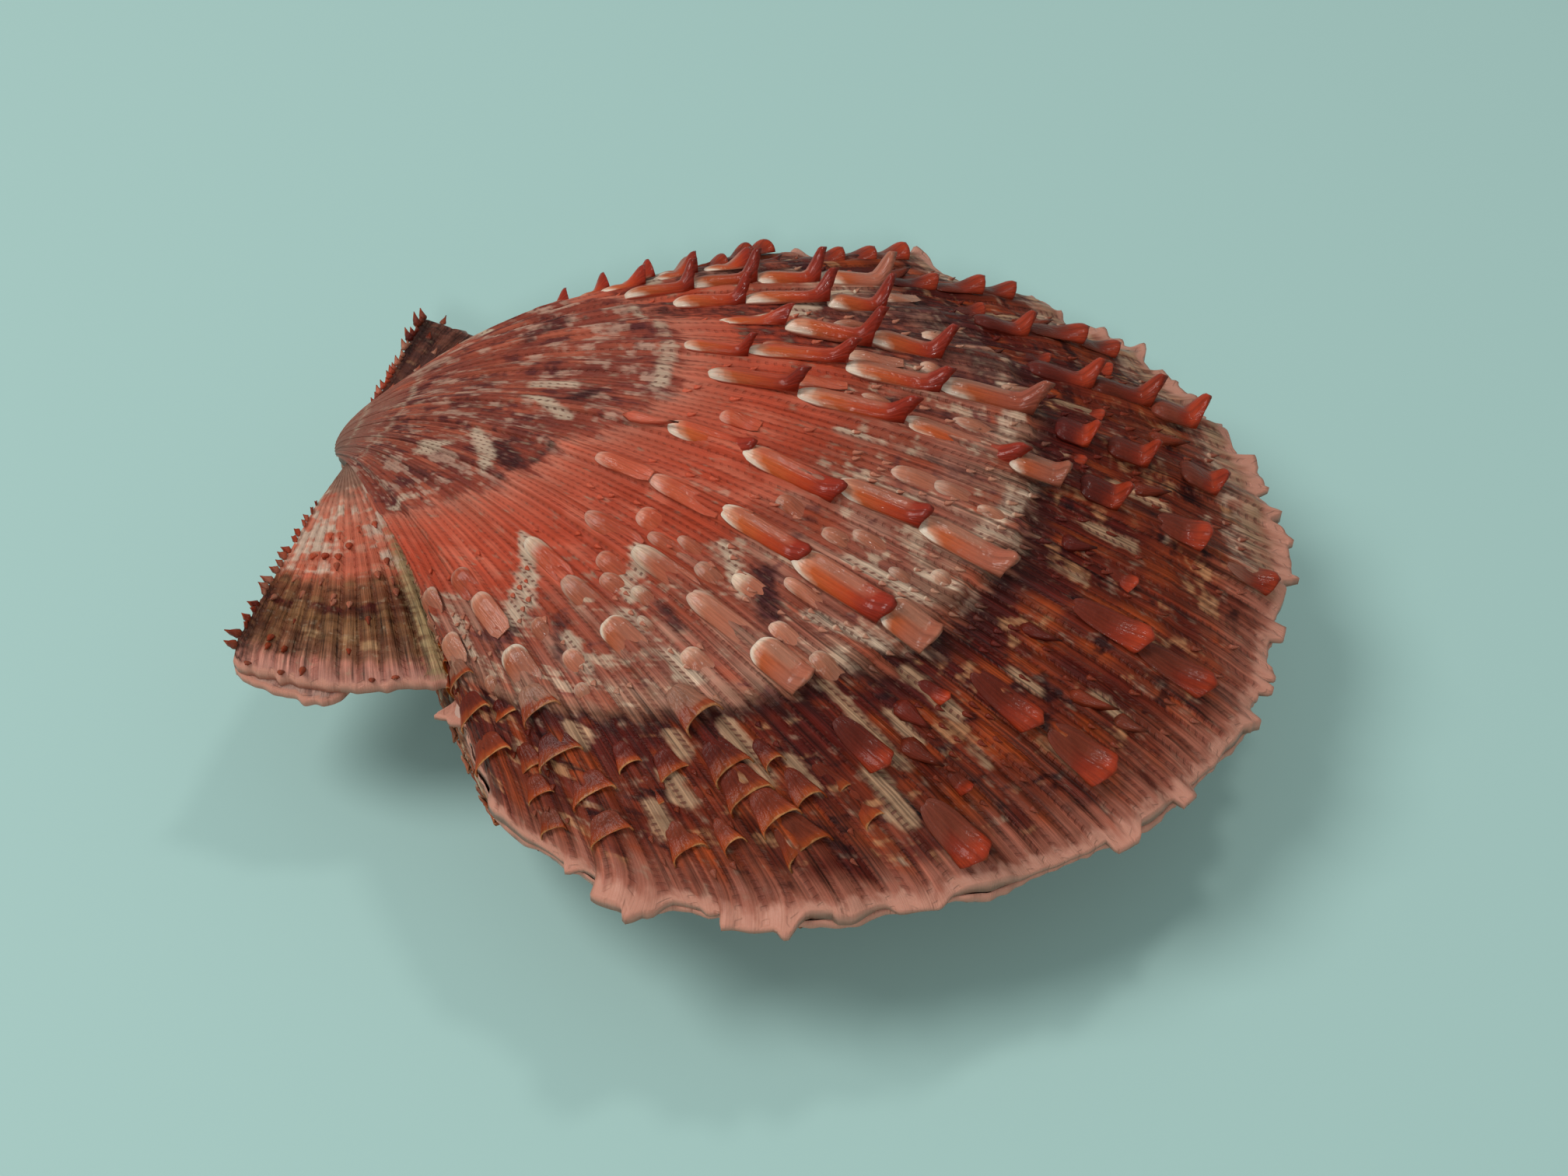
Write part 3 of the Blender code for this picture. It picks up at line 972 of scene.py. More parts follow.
    def noise(self, vector: Plug, scale: float, detail: float = 2.0, roughness: float = 0.5) -> Plug:
        """Soft noise, from 0 to 1.

        Args:
            vector: Where to read.
            scale: Cells per unit.
            detail: Number of finer layers.
            roughness: Strength of the finer layers.

        Returns:
            The noise's output.
        """
        node = self.add("ShaderNodeTexNoise")
        return self.fill(node, Vector=vector, Scale=scale, Detail=detail, Roughness=roughness).outputs[0]

    def streaky(self, across: Plug, along: Plug, cells_across: float, cells_along: float) -> Plug:
        """Noise drawn out along or across the growth of the shell."""
        return self.noise(self.vector(self.times(across, cells_across), self.times(along, cells_along)), 1.0)

    def value(self, name: str) -> Plug:
        """A number stored on the mesh."""
        return self.add("ShaderNodeAttribute", attribute_name=name).outputs["Fac"]

    def fill(self, node: Node, **inputs: Plug) -> Node:
        """Set or link a node's inputs.

        Args:
            node: The node.
            inputs: What goes into each input; underscores in the names stand for spaces.

        Returns:
            The same node.
        """
        for name, value in inputs.items():
            self.plug(value, node.inputs[name.replace("_", " ")])
        return node

    def use(self, group: NodeTree, **inputs: Plug) -> Node:
        """Place a node group and fill its inputs."""
        return self.fill(self.add("ShaderNodeGroup", node_tree=group), **inputs)


def new_group(name: str, inputs: dict[str, float], outputs: Sequence[str]) -> tuple[Wiring, Any, Any]:
    """Start a shader node group.

    Args:
        name: Name of the group.
        inputs: Each number that goes in, with its usual value.
        outputs: Each number that comes out.

    Returns:
        The wiring, the node that the inputs come from and the node that the outputs go to.
    """
    tree = bpy.data.node_groups.new(name, "ShaderNodeTree")
    for label, usual in inputs.items():
        socket = tree.interface.new_socket(label, in_out="INPUT", socket_type="NodeSocketFloat")
        socket.default_value = usual
    for label in outputs:
        tree.interface.new_socket(label, in_out="OUTPUT", socket_type="NodeSocketFloat")
    wiring = Wiring(tree)
    return wiring, wiring.add("NodeGroupInput"), wiring.add("NodeGroupOutput")


def cord_group() -> NodeTree:
    """Radial cords: masks of the grooves between them and of the rows of pits in the grooves, where the
    finishes paint shade and shadow.

    Returns:
        The node group.
    """
    wiring, given, made = new_group(
        "radial_cords", {"Count": 0.0, "Stage": 0.0, "Pit Rows": 120.0}, ("Groove", "Pits", "Height")
    )
    phase = wiring.times(given.outputs["Count"], 2 * math.pi)
    cord = wiring.scaled(wiring.math("COSINE", phase), 0.5, 0.5)
    groove = wiring.ease(cord, 0.42, 0.0)
    rows = wiring.times(given.outputs["Stage"], given.outputs["Pit Rows"])
    shift = wiring.times(wiring.math("SINE", wiring.times(phase, 0.37)), 0.6)
    beat = wiring.math("SINE", wiring.times(wiring.plus(rows, shift), 2 * math.pi))
    pits = wiring.times(wiring.ease(beat, 0.1, 0.75), wiring.ease(cord, 0.32, 0.06))
    wiring.fill(made, Groove=groove, Pits=pits, Height=wiring.minus(cord, pits))
    return wiring.tree


def growth_group() -> NodeTree:
    """Fine growth lines that run round the fan, from 0 to 1.

    Returns:
        The node group.
    """
    wiring, given, made = new_group(
        "growth_lines", {"Fan": 0.0, "Stage": 0.0, "Lines": 160.0}, ("Lines", "Bands")
    )
    far = wiring.times(given.outputs["Stage"], given.outputs["Lines"])
    fine = wiring.noise(wiring.vector(wiring.times(given.outputs["Fan"], 9.0), far), 1.0)
    broad = wiring.streaky(given.outputs["Fan"], given.outputs["Stage"], 2.0, 26.0)
    wiring.fill(made, Lines=fine, Bands=broad)
    return wiring.tree


def mottle_group() -> NodeTree:
    """Levels for blotches with ragged edges, drawn out along the riblets.

    Returns:
        The node group.
    """
    wiring, given, made = new_group(
        "mottle", {"Fan": 0.0, "Stage": 0.0, "Count": 0.0, "Size": 1.0}, ("Level",)
    )
    fan = wiring.math("DIVIDE", given.outputs["Fan"], given.outputs["Size"])
    stage = wiring.math("DIVIDE", given.outputs["Stage"], given.outputs["Size"])
    column = wiring.math("ROUND", given.outputs["Count"])
    level = wiring.times(wiring.streaky(fan, stage, 16.0, 17.0), 0.45)
    ragged = wiring.times(wiring.streaky(column, stage, 7.3, 42.0), 0.4)
    fine = wiring.times(wiring.streaky(fan, stage, 150.0, 90.0), 0.15)
    level = wiring.plus(level, wiring.plus(ragged, fine))
    wiring.fill(made, Level=level)
    return wiring.tree


@dataclass
class Groups:
    """The node groups that more than one finish uses."""

    cords: NodeTree = field(default_factory=cord_group)
    growth: NodeTree = field(default_factory=growth_group)
    mottle: NodeTree = field(default_factory=mottle_group)


def new_material(name: str) -> tuple[Material, Wiring, Node]:
    """A material with only its Principled shader.

    Args:
        name: Name of the material.

    Returns:
        The material, its wiring and its shader node.
    """
    material = bpy.data.materials.new(name)
    material.use_nodes = True
    return material, Wiring(material.node_tree), material.node_tree.nodes["Principled BSDF"]


def add_depth(shader: Node, weight: float, reach: float) -> None:
    """Let a little light pass under the surface, reddest deepest.

    Args:
        shader: The Principled shader.
        weight: Share of light that passes.
        reach: How deep it goes, in metres.
    """
    shader.inputs["Subsurface Weight"].default_value = weight
    shader.inputs["Subsurface Scale"].default_value = reach
    shader.inputs["Subsurface Radius"].default_value = (1.0, 0.45, 0.3)


@dataclass(frozen=True)
class Season:
    """A stretch of growth with streaks along its riblets and blotches across them."""

    start: float
    end: float
    bright: Colour
    deep: Colour
    light: Colour = (0.5, 0.38, 0.27)
    light_amount: float = 0.4
    dark: Colour = (0.06, 0.014, 0.014)
    dark_amount: float = 0.4
    strength: float = 0.85


@dataclass(frozen=True)
class ShellFinish:
    """The grown surface of a disc or an ear."""

    name: str
    zones: Stops
    pale: Colour
    dark: Colour
    gold: Colour
    seasons: tuple[Season, ...]
    blotch_size: float = 1.0
    pit_rows: float = 120.0
    pit_shadow_strength: float = 0.75
    roughness: float = 0.38
    groove_shade_strength: float = 0.5
    rim: Colour = (0.52, 0.23, 0.165)
    rim_start: float = 0.983
    groove_shade: Colour = (0.35, 0.13, 0.11)
    pit_shadow: Colour = (0.12, 0.035, 0.025)
    inside: Colour = (0.5, 0.3, 0.24)

    def make(self, groups: Groups) -> Material:
        """Build the material.

        Args:
            groups: The shared node groups.

        Returns:
            The finished material.
        """
        material, wiring, shader = new_material(self.name)
        growth_map = wiring.add("ShaderNodeUVMap", uv_map=GROWTH_MAP).outputs[0]
        fan, stage, _ = wiring.split(growth_map)
        count = wiring.value("riblet")
        own = wiring.streaky(wiring.math("ROUND", count), stage, 7.7, 9.0)
        own = wiring.plus(wiring.times(own, 0.65),
                          wiring.times(wiring.streaky(fan, stage, 12.0, 14.0), 0.35))
        warp = wiring.plus(wiring.streaky(fan, stage, 55.0, 12.0), own)
        age = wiring.scaled(wiring.minus(warp, 1.0), 0.08, wiring.value("age"))
        colour = wiring.ramp(age, self.zones)

        size = self.blotch_size
        light = wiring.use(groups.mottle, Fan=fan, Stage=stage, Count=count, Size=size).outputs[0]
        later = wiring.plus(stage, 3.7)
        dark = wiring.use(groups.mottle, Fan=fan, Stage=later, Count=count, Size=size).outputs[0]
        for season in self.seasons:
            begun = wiring.ease(age, season.start, season.start + 0.02)
            during = wiring.times(begun, wiring.ease(age, season.end + 0.02, season.end - 0.02))
            during = wiring.times(during, season.strength)
            layers = (
                (own, 0.5, 0.6, season.bright), (own, 0.49, 0.38, season.deep),
                (dark, 1 - season.dark_amount, 1.08 - season.dark_amount, season.dark),
                (light, 1 - season.light_amount, 1.08 - season.light_amount, season.light),
            )
            for level, low, high, tint in layers:
                share = wiring.times(wiring.ease(level, low, high), during)
                colour = wiring.blend(share, colour, tint)

        cords = wiring.use(groups.cords, Count=count, Stage=stage, Pit_Rows=self.pit_rows)
        column = wiring.streaky(wiring.math("ROUND", count), stage, 5.9, 46.0)
        rough_edge = wiring.streaky(fan, stage, 130.0, 60.0)
        wobble = wiring.minus(wiring.plus(column, rough_edge), 1.0)
        masks = {}
        # The DARK strokes include painted shade on the side that faces away from the light.
        for mark, tint in ((Mark.DARK, self.dark), (Mark.PALE, self.pale), (Mark.GOLD, self.gold)):
            edge = wiring.scaled(wobble, 1.2, wiring.value(mark.value))
            masks[mark] = wiring.ease(edge, 0.1, 1.05)
            colour = wiring.blend(masks[mark], colour, tint)

        radial = wiring.streaky(fan, stage, 150.0, 5.0)
        fibres = wiring.streaky(fan, stage, 430.0, 7.0)
        late = wiring.scaled(wiring.ease(age, 0.5, 0.78), 1.7, 0.6)
        uneven = wiring.minus(wiring.plus(radial, fibres), 1.0)
        uneven = wiring.times(uneven, wiring.ease(age, 1.01, 0.965))
        lighter = wiring.plus(wiring.times(uneven, late), 1.0)
        colour = wiring.shade(colour, lighter)
        lines = wiring.use(groups.growth, Fan=fan, Stage=stage, Lines=150.0)
        banded = wiring.scaled(lines.outputs["Bands"], 0.5, 0.75)
        colour = wiring.shade(colour, banded)

        # Painted shade: darken the grooves between the radial cords.
        groove = wiring.times(cords.outputs["Groove"], wiring.ease(radial, 0.3, 0.6))
        groove = wiring.times(groove, self.groove_shade_strength)
        groove = wiring.times(groove, wiring.ease(age, 0.1, 0.6))
        colour = wiring.blend(groove, colour, self.groove_shade, "MULTIPLY")
        # Painted shadow: darken the rows of pits, most on the pale and gold parts.
        light_parts = wiring.math("MAXIMUM", masks[Mark.PALE], masks[Mark.GOLD])
        pitted = wiring.scaled(light_parts, 0.7, 0.3)
        pitted = wiring.times(pitted, self.pit_shadow_strength)
        pits = wiring.times(cords.outputs["Pits"], pitted)
        colour = wiring.blend(pits, colour, self.pit_shadow)
        edge = wiring.scaled(wiring.minus(rough_edge, 0.5), 0.03, stage)
        colour = wiring.blend(wiring.ease(edge, self.rim_start, self.rim_start + 0.014), colour, self.rim)
        colour = wiring.blend(wiring.value("inner"), colour, self.inside)

        roughness = wiring.scaled(wiring.noise(growth_map, 60.0, 3.0), 0.3, self.roughness - 0.15)
        ringed = wiring.times(lines.outputs["Lines"], 0.4)
        grain = wiring.times(wiring.noise(growth_map, 520.0, 2.0), 0.3)
        scratched = wiring.times(wiring.streaky(fan, stage, 600.0, 8.0), 0.8)
        height = wiring.plus(wiring.plus(ringed, grain), scratched)
        height = wiring.plus(height, wiring.times(cords.outputs["Height"], 0.7))
        normal = wiring.bump(height, 0.6, 0.12 * MM)
        wiring.fill(shader, Base_Color=colour, Roughness=roughness, Normal=normal, Specular_IOR_Level=0.1)
        add_depth(shader, 0.08, 0.6 * MM)
        return material


@dataclass(frozen=True)
class HornFinish:
    """The glossy translucent scales: a pale head, an orange body and a dark lip."""

    name: str
    zones: Stops
    bright: Stops
    grey: Stops
    dusk: Stops
    leaf: Stops
    pale: Colour
    salmon: Colour = (0.4, 0.16, 0.1)
    body_roughness: float = 0.42
    coat: float = 0.3

    def make(self) -> Material:
        """Build the material; it reads how far along its scale each point lies.

        Returns:
            The finished material.
        """
        material, wiring, shader = new_material(self.name)
        growth_map = wiring.add("ShaderNodeUVMap", uv_map=GROWTH_MAP).outputs[0]
        across, _, _ = wiring.split(growth_map)
        turned = wiring.times(wiring.minus(across, 0.5), 2.0)
        side = wiring.math("ABSOLUTE", turned)
        place = wiring.add("ShaderNodeTexCoord").outputs["Object"]
        cloud = wiring.noise(place, 900.0, 3.0)
        along = wiring.scaled(wiring.minus(cloud, 0.5), 0.3, wiring.value("along"))
        beside = wiring.times(wiring.ease(side, 0.3, 1.0), wiring.ease(along, 0.65, 0.25))
        along = wiring.minus(along, wiring.times(beside, 0.22))
        colour = wiring.ramp(along, self.bright)
        for weight, stops in (("grey", self.grey), ("dusk", self.dusk), ("leaf", self.leaf)):
            colour = wiring.blend(wiring.value(weight), colour, wiring.ramp(along, stops))
        age = wiring.value("age")
        middle = wiring.times(wiring.ease(age, 0.5, 0.6), wiring.ease(age, 0.77, 0.73))
        around = wiring.ramp(age, self.zones)
        around = wiring.blend(wiring.times(middle, 0.5), around, self.salmon)
        around = wiring.blend(
            wiring.times(wiring.value("pale"), wiring.ease(along, 0.45, 0.15)), around, self.pale
        )
        crest = wiring.times(wiring.ease(turned, -0.25, 0.1), wiring.ease(along, 0.9, 0.7))
        crest = wiring.times(crest, wiring.ease(along, 0.05, 0.25))
        skirt = wiring.times(wiring.ease(side, 0.8, 0.97), wiring.ease(along, 0.95, 0.75))
        merged = wiring.times(wiring.value("grey"), wiring.ease(along, 0.25, 0.8))
        late = wiring.plus(wiring.value("leaf"), wiring.times(wiring.value("dusk"), 0.8))
        hidden = wiring.math("MULTIPLY", late, wiring.ease(along, 0.72, 0.42), clamp=True)
        like_shell = wiring.math("MAXIMUM", wiring.times(crest, 0.8), skirt)
        for share in (wiring.value("blend"), merged, hidden):
            like_shell = wiring.math("MAXIMUM", like_shell, share)
        colour = wiring.blend(like_shell, colour, around)
        streaks = wiring.streaky(across, wiring.value("along"), 17.0, 1.5)
        tone = wiring.plus(wiring.times(wiring.value("tone"), 0.5), streaks)
        tone = wiring.scaled(tone, 1.3, 0.12)
        colour = wiring.shade(colour, tone)
        rough = wiring.scaled(cloud, 0.2, self.body_roughness - 0.1)
        ripples = wiring.plus(wiring.streaky(across, wiring.value("along"), 14.0, 6.0), streaks)
        ripples = wiring.plus(ripples, wiring.times(wiring.noise(place, 3600.0, 2.0), 0.7))
        normal = wiring.bump(ripples, 0.5, 0.08 * MM)
        shine = wiring.scaled(late, -0.7 * self.coat, self.coat)
        wiring.fill(shader, Base_Color=colour, Roughness=rough, Specular_IOR_Level=0.1, Normal=normal,
                    Coat_Weight=shine, Coat_Roughness=0.1, Coat_Normal=normal)
        add_depth(shader, 0.2, 0.7 * MM)
        return material


@dataclass(frozen=True)
class LigamentFinish:
    """Dried dark horn with fine fibres across the hinge."""

    light: Colour = (0.10, 0.05, 0.028)
    dark: Colour = (0.03, 0.015, 0.008)

    def make(self) -> Material:
        """Build the material from noise stretched along the hinge line.

        Returns:
            The finished material.
        """
        material, wiring, shader = new_material("dried_ligament")
        x, y, z = wiring.split(wiring.add("ShaderNodeTexCoord").outputs["Object"])
        drawn_out = wiring.vector(wiring.times(x, 700.0), wiring.times(y, 5200.0), wiring.times(z, 900.0))
        fibres = wiring.noise(drawn_out, 1.0, 3.0)
        wiring.fill(shader, Base_Color=wiring.blend(fibres, self.dark, self.light),
                    Roughness=wiring.scaled(fibres, 0.3, 0.45), Normal=wiring.bump(fibres, 1.0, 0.05 * MM))
        return material


UPPER_FINISH = ShellFinish(
    name="coral_shell",
    zones=(
        (0.0, (0.36, 0.18, 0.13)), (0.08, (0.31, 0.12, 0.085)), (0.12, (0.27, 0.075, 0.052)),
        (0.2, (0.27, 0.056, 0.033)), (0.27, (0.22, 0.044, 0.028)), (0.343, (0.28, 0.054, 0.032)),
        (0.352, (0.5, 0.15, 0.095)), (0.38, (0.47, 0.1, 0.056)), (0.44, (0.45, 0.064, 0.03)),
        (0.52, (0.38, 0.055, 0.025)), (0.58, (0.3, 0.066, 0.037)), (0.68, (0.27, 0.084, 0.055)),
        (0.715, (0.28, 0.135, 0.09)), (0.738, (0.17, 0.07, 0.042)), (0.752, (0.035, 0.005, 0.004)),
        (0.785, (0.08, 0.008, 0.005)), (0.84, (0.12, 0.015, 0.006)), (0.9, (0.14, 0.021, 0.008)),
        (0.95, (0.17, 0.038, 0.02)), (0.975, (0.27, 0.08, 0.05)), (1.0, (0.36, 0.12, 0.08)),
    ),
    pale=(0.5, 0.35, 0.255),
    # The dark tint colours both the dark markings and the painted shade on the side that faces away from the
    # light.
    dark=(0.05, 0.011, 0.012),
    gold=(0.33, 0.185, 0.11),
    seasons=(
        Season(0.1, 0.34, (0.4, 0.095, 0.052), (0.13, 0.03, 0.026), (0.46, 0.27, 0.2), 0.5,
               (0.075, 0.016, 0.018), 0.48, 0.8),
        Season(0.41, 0.56, (0.56, 0.13, 0.075), (0.36, 0.045, 0.018), (0.52, 0.26, 0.18), 0.4,
               (0.2, 0.03, 0.02), 0.4, 0.7),
        Season(0.54, 0.745, (0.37, 0.165, 0.114), (0.28, 0.05, 0.022), (0.48, 0.32, 0.225), 0.47,
               (0.13, 0.036, 0.032), 0.45, 0.85),
        Season(0.755, 0.965, (0.27, 0.042, 0.009), (0.065, 0.006, 0.004), (0.36, 0.16, 0.075), 0.45,
               (0.014, 0.003, 0.004), 0.47, 0.85),
    ),
)
UPPER_EAR_FINISH = ShellFinish(
    name="front_ear_shell",
    zones=(
        (0.0, (0.3, 0.17, 0.125)), (0.22, (0.33, 0.16, 0.11)), (0.32, (0.5, 0.17, 0.11)),
        (0.45, (0.56, 0.14, 0.08)), (0.6, (0.46, 0.11, 0.06)), (0.66, (0.22, 0.075, 0.035)),
        (0.725, (0.16, 0.055, 0.024)), (0.738, (0.07, 0.01, 0.008)), (0.755, (0.08, 0.015, 0.009)),
        (0.77, (0.17, 0.075, 0.03)), (0.86, (0.13, 0.048, 0.022)), (0.92, (0.2, 0.08, 0.045)),
        (0.955, (0.36, 0.14, 0.1)), (1.0, (0.5, 0.22, 0.17)),
    ),
    pale=(0.5, 0.38, 0.28),
    dark=(0.06, 0.018, 0.012),
    gold=(0.33, 0.22, 0.11),
    seasons=(
        Season(0.22, 0.62, (0.6, 0.24, 0.16), (0.5, 0.12, 0.07), (0.58, 0.44, 0.34), 0.51,
               (0.32, 0.09, 0.06), 0.42),
        Season(0.64, 0.93, (0.2, 0.09, 0.04), (0.1, 0.03, 0.014), (0.3, 0.17, 0.085), 0.44,
               (0.04, 0.012, 0.008), 0.48),
    ),
    blotch_size=2.6,
    pit_rows=34.0,
    pit_shadow_strength=0.3,
)
BACK_EAR_FINISH = ShellFinish(
    name="back_ear_shell",
    zones=(
        (0.0, (0.16, 0.08, 0.06)), (0.4, (0.09, 0.03, 0.022)), (0.7, (0.067, 0.023, 0.018)),
        (0.93, (0.09, 0.03, 0.02)), (1.0, (0.24, 0.11, 0.08)),
    ),
    pale=(0.3, 0.2, 0.13),
    dark=(0.03, 0.012, 0.01),
    gold=(0.16, 0.09, 0.05),
    seasons=(
        Season(0.2, 0.93, (0.12, 0.04, 0.025), (0.04, 0.014, 0.012), (0.2, 0.09, 0.05), 0.46,
               (0.02, 0.008, 0.008), 0.46),
    ),
    blotch_size=2.0,
    pit_rows=30.0,
    pit_shadow_strength=0.4,
)
LOWER_FINISH = ShellFinish(
    name="tawny_shell",
    zones=(
        (0.0, (0.37, 0.24, 0.18)), (0.12, (0.32, 0.17, 0.12)), (0.25, (0.28, 0.11, 0.06)),
        (0.45, (0.25, 0.085, 0.04)), (0.68, (0.2, 0.06, 0.028)), (0.742, (0.23, 0.08, 0.04)),
        (0.75, (0.1, 0.025, 0.014)), (0.8, (0.15, 0.045, 0.022)), (0.9, (0.22, 0.08, 0.04)),
        (0.945, (0.3, 0.14, 0.095)), (0.975, (0.4, 0.19, 0.14)), (1.0, (0.55, 0.32, 0.24)),
    ),
    pale=(0.45, 0.37, 0.26),
    dark=(0.09, 0.025, 0.014),
    gold=(0.3, 0.2, 0.11),
    seasons=(
        Season(0.18, 0.93, (0.34, 0.15, 0.07), (0.16, 0.04, 0.018), (0.46, 0.34, 0.23), 0.5,
               (0.11, 0.025, 0.013), 0.47, 0.8),
    ),
    blotch_size=1.2,
)
LOWER_EAR_FINISH = ShellFinish(
    name="lower_ear_shell",
    zones=(
        (0.0, (0.3, 0.2, 0.15)), (0.4, (0.28, 0.15, 0.1)), (0.7, (0.3, 0.15, 0.1)),
        (0.9, (0.34, 0.18, 0.13)), (1.0, (0.45, 0.25, 0.2)),
    ),
    pale=(0.42, 0.38, 0.27),
    dark=(0.12, 0.045, 0.03),
    gold=(0.3, 0.24, 0.15),
    seasons=(
        Season(0.2, 0.93, (0.38, 0.2, 0.14), (0.22, 0.09, 0.06), (0.44, 0.32, 0.24), 0.47,
               (0.16, 0.06, 0.04), 0.4),
    ),
    blotch_size=2.0,
    pit_rows=34.0,
    pit_shadow_strength=0.3,
)
SCALE_FINISH = HornFinish(
    name="glossy_scale",
    zones=UPPER_FINISH.zones,
    bright=(
        (0.0, (0.64, 0.5, 0.4)), (0.07, (0.56, 0.38, 0.29)), (0.14, (0.46, 0.19, 0.11)),
        (0.26, (0.38, 0.07, 0.016)), (0.7, (0.32, 0.032, 0.007)), (0.86, (0.23, 0.018, 0.006)),
        (1.0, (0.18, 0.014, 0.006)),
    ),
    grey=(
        (0.0, (0.66, 0.52, 0.42)), (0.08, (0.58, 0.42, 0.32)), (0.16, (0.42, 0.19, 0.12)),
        (0.28, (0.32, 0.075, 0.028)), (0.9, (0.28, 0.05, 0.018)), (1.0, (0.3, 0.08, 0.035)),
    ),
    dusk=(
        (0.0, (0.06, 0.014, 0.015)), (0.2, (0.05, 0.007, 0.006)), (0.45, (0.1, 0.01, 0.005)),
        (0.72, (0.19, 0.018, 0.006)), (0.9, (0.27, 0.028, 0.008)), (1.0, (0.22, 0.022, 0.008)),
    ),
    leaf=(
        (0.0, (0.07, 0.01, 0.004)), (0.4, (0.12, 0.013, 0.004)), (0.7, (0.2, 0.024, 0.005)),
        (0.96, (0.25, 0.04, 0.008)), (1.0, (0.33, 0.12, 0.04)),
    ),
    pale=UPPER_FINISH.pale,
)
LOWER_SCALE_FINISH = HornFinish(
    name="tawny_scale",
    zones=LOWER_FINISH.zones,
    bright=SCALE_FINISH.leaf,
    grey=SCALE_FINISH.grey,
    dusk=SCALE_FINISH.dusk,
    leaf=SCALE_FINISH.leaf,
    pale=LOWER_FINISH.pale,
)


# Scales


@dataclass(frozen=True)
class ScaleShape:
    """One hollow scale, in parts of its own length, half width and body height.

    The head is the share of the length that rounds off its start. From lip_start on, the free
    end rises by lip_rise and reaches forward by lip_reach; a large lip_point makes it narrow.
    """

    head: float
    lip_start: float
    lip_rise: float
    lip_reach: float
    lip_point: float
    corner_reach: float
    arch: float
    thickness: float
    rows: int
    columns: int
    waist: float = 0.0
    sunk: float = 0.3
    taper: float = 0.0

    def mesh(self, name: str) -> Mesh:
        """Build the scale along +X, arched over +Z.

        Args:
            name: Name of the mesh.

        Returns:
            A closed mesh that knows how far along and across each point lies.
        """
        even = np.linspace(0, 1, self.rows)
        along = (even - 0.1 * np.sin(2 * np.pi * even) * (self.rows > 6))[:, None]
        across = np.linspace(-1, 1, self.columns)[None, :]
        angle = across * np.pi / 2
        opening = np.sqrt(np.clip(1 - (1 - np.clip(along / self.head, 0, 1)) ** 2, 0, 1))
        lip = fade(along, self.lip_start, 1.0) ** 1.3
        middle = np.cos(angle) ** self.lip_point
        wide = (0.12 + 0.88 * opening) * (1 - self.waist * lip)
        y = 0.5 * wide * np.sign(across) * np.abs(np.sin(angle)) ** self.arch
        body = opening * np.cos(angle) ** self.arch
        body = body * (1 - 0.15 * fade(along, 0.3, 0.75)) * (1 - self.taper * fade(along, 0.3, 0.95))
        z = body + self.lip_rise * lip * middle - self.sunk
        corners = self.corner_reach * lip * (1 - middle)
        x = along + self.lip_reach * lip * middle + corners
        outer = np.stack(np.broadcast_arrays(x, y, z), -1)
        slopes = np.gradient(outer, axis=0), np.gradient(outer, axis=1)
        inward = -unit(np.cross(*slopes))
        inner = outer + inward * self.thickness * (1 - 0.4 * lip[..., None])
        inner[..., 2] = np.maximum(inner[..., 2], -self.sunk - 0.12)
        mesh = thick_sheet(name, outer, inner)
        far = np.broadcast_to(along, x.shape).ravel()
        side = np.broadcast_to((across + 1) / 2, x.shape).ravel()
        add_values(mesh, "along", np.tile(far, 2))
        add_growth_map(mesh, np.tile(side, 2), np.tile(far, 2))
        return mesh


FINE = dict(rows=17, columns=15)
SCALE_SHAPES = {
    GLOSSY: ScaleShape(0.3, 0.84, 1.1, 0.04, 1.4, 0.02, 0.9, 0.12, **FINE),
    SPINE: ScaleShape(0.28, 0.8, 2.1, 0.03, 1.3, 0.0, 0.9, 0.16, waist=0.1, **FINE),
    GREY: ScaleShape(0.3, 0.8, 0.0, 0.0, 0.8, 0.0, 0.95, 0.1, taper=1.0, waist=0.3, **FINE),
    LEAF: ScaleShape(0.5, 0.35, 1.4, 0.0, 0.6, 0.3, 1.0, 0.1, waist=-0.45, taper=0.6, **FINE),
    SPOON: ScaleShape(0.6, 0.5, 3.2, 0.1, 1.2, 0.0, 0.95, 0.14, taper=0.6, waist=-0.15, **FINE),
    STUB: ScaleShape(0.4, 0.3, 0.8, 0.3, 1.6, -0.1, 1.0, 0.2, rows=5, columns=6, waist=0.7),
}
BODY_HEIGHTS = {
    GLOSSY: 0.54 * MM, SPINE: 0.62 * MM, GREY: 0.4 * MM, LEAF: 0.16 * MM,
    SPOON: 0.26 * MM, STUB: 0.4 * MM,
}


@dataclass
class Planting:
    """A list of scales with their places, sizes and tones, ready to be planted."""

    points: list[Array] = field(default_factory=list)
    up: list[Array] = field(default_factory=list)
    growth: list[Array] = field(default_factory=list)
    sizes: list[tuple[float, float, float]] = field(default_factory=list)
    styles: list[int] = field(default_factory=list)
    tones: dict[str, list[float]] = field(
        default_factory=lambda: {
            name: [] for name in ("grey", "dusk", "leaf", "tone", "pale", "blend", "age")
        }
    )

    def add(self, base: Array, tip: Array, up: Array, width: float, height: float,
            style: Style, **tones: float) -> None:
        """Note one scale.

        Args:
            base: Where its head lies.
            tip: Where its body ends.
            up: The way out of the surface there.
            width: Its width in metres.
            height: Its body's height in metres.
            style: Its kind.
            tones: How much of each tone it has; those left out are 0.
        """
        self.points.append(base)
        self.up.append(up)
        self.growth.append(unit(tip - base))
        self.sizes.append((float(np.linalg.norm(tip - base)), width, height))
        self.styles.append(style.value)
        for name, values in self.tones.items():
            values.append(tones.get(name, 0.0))


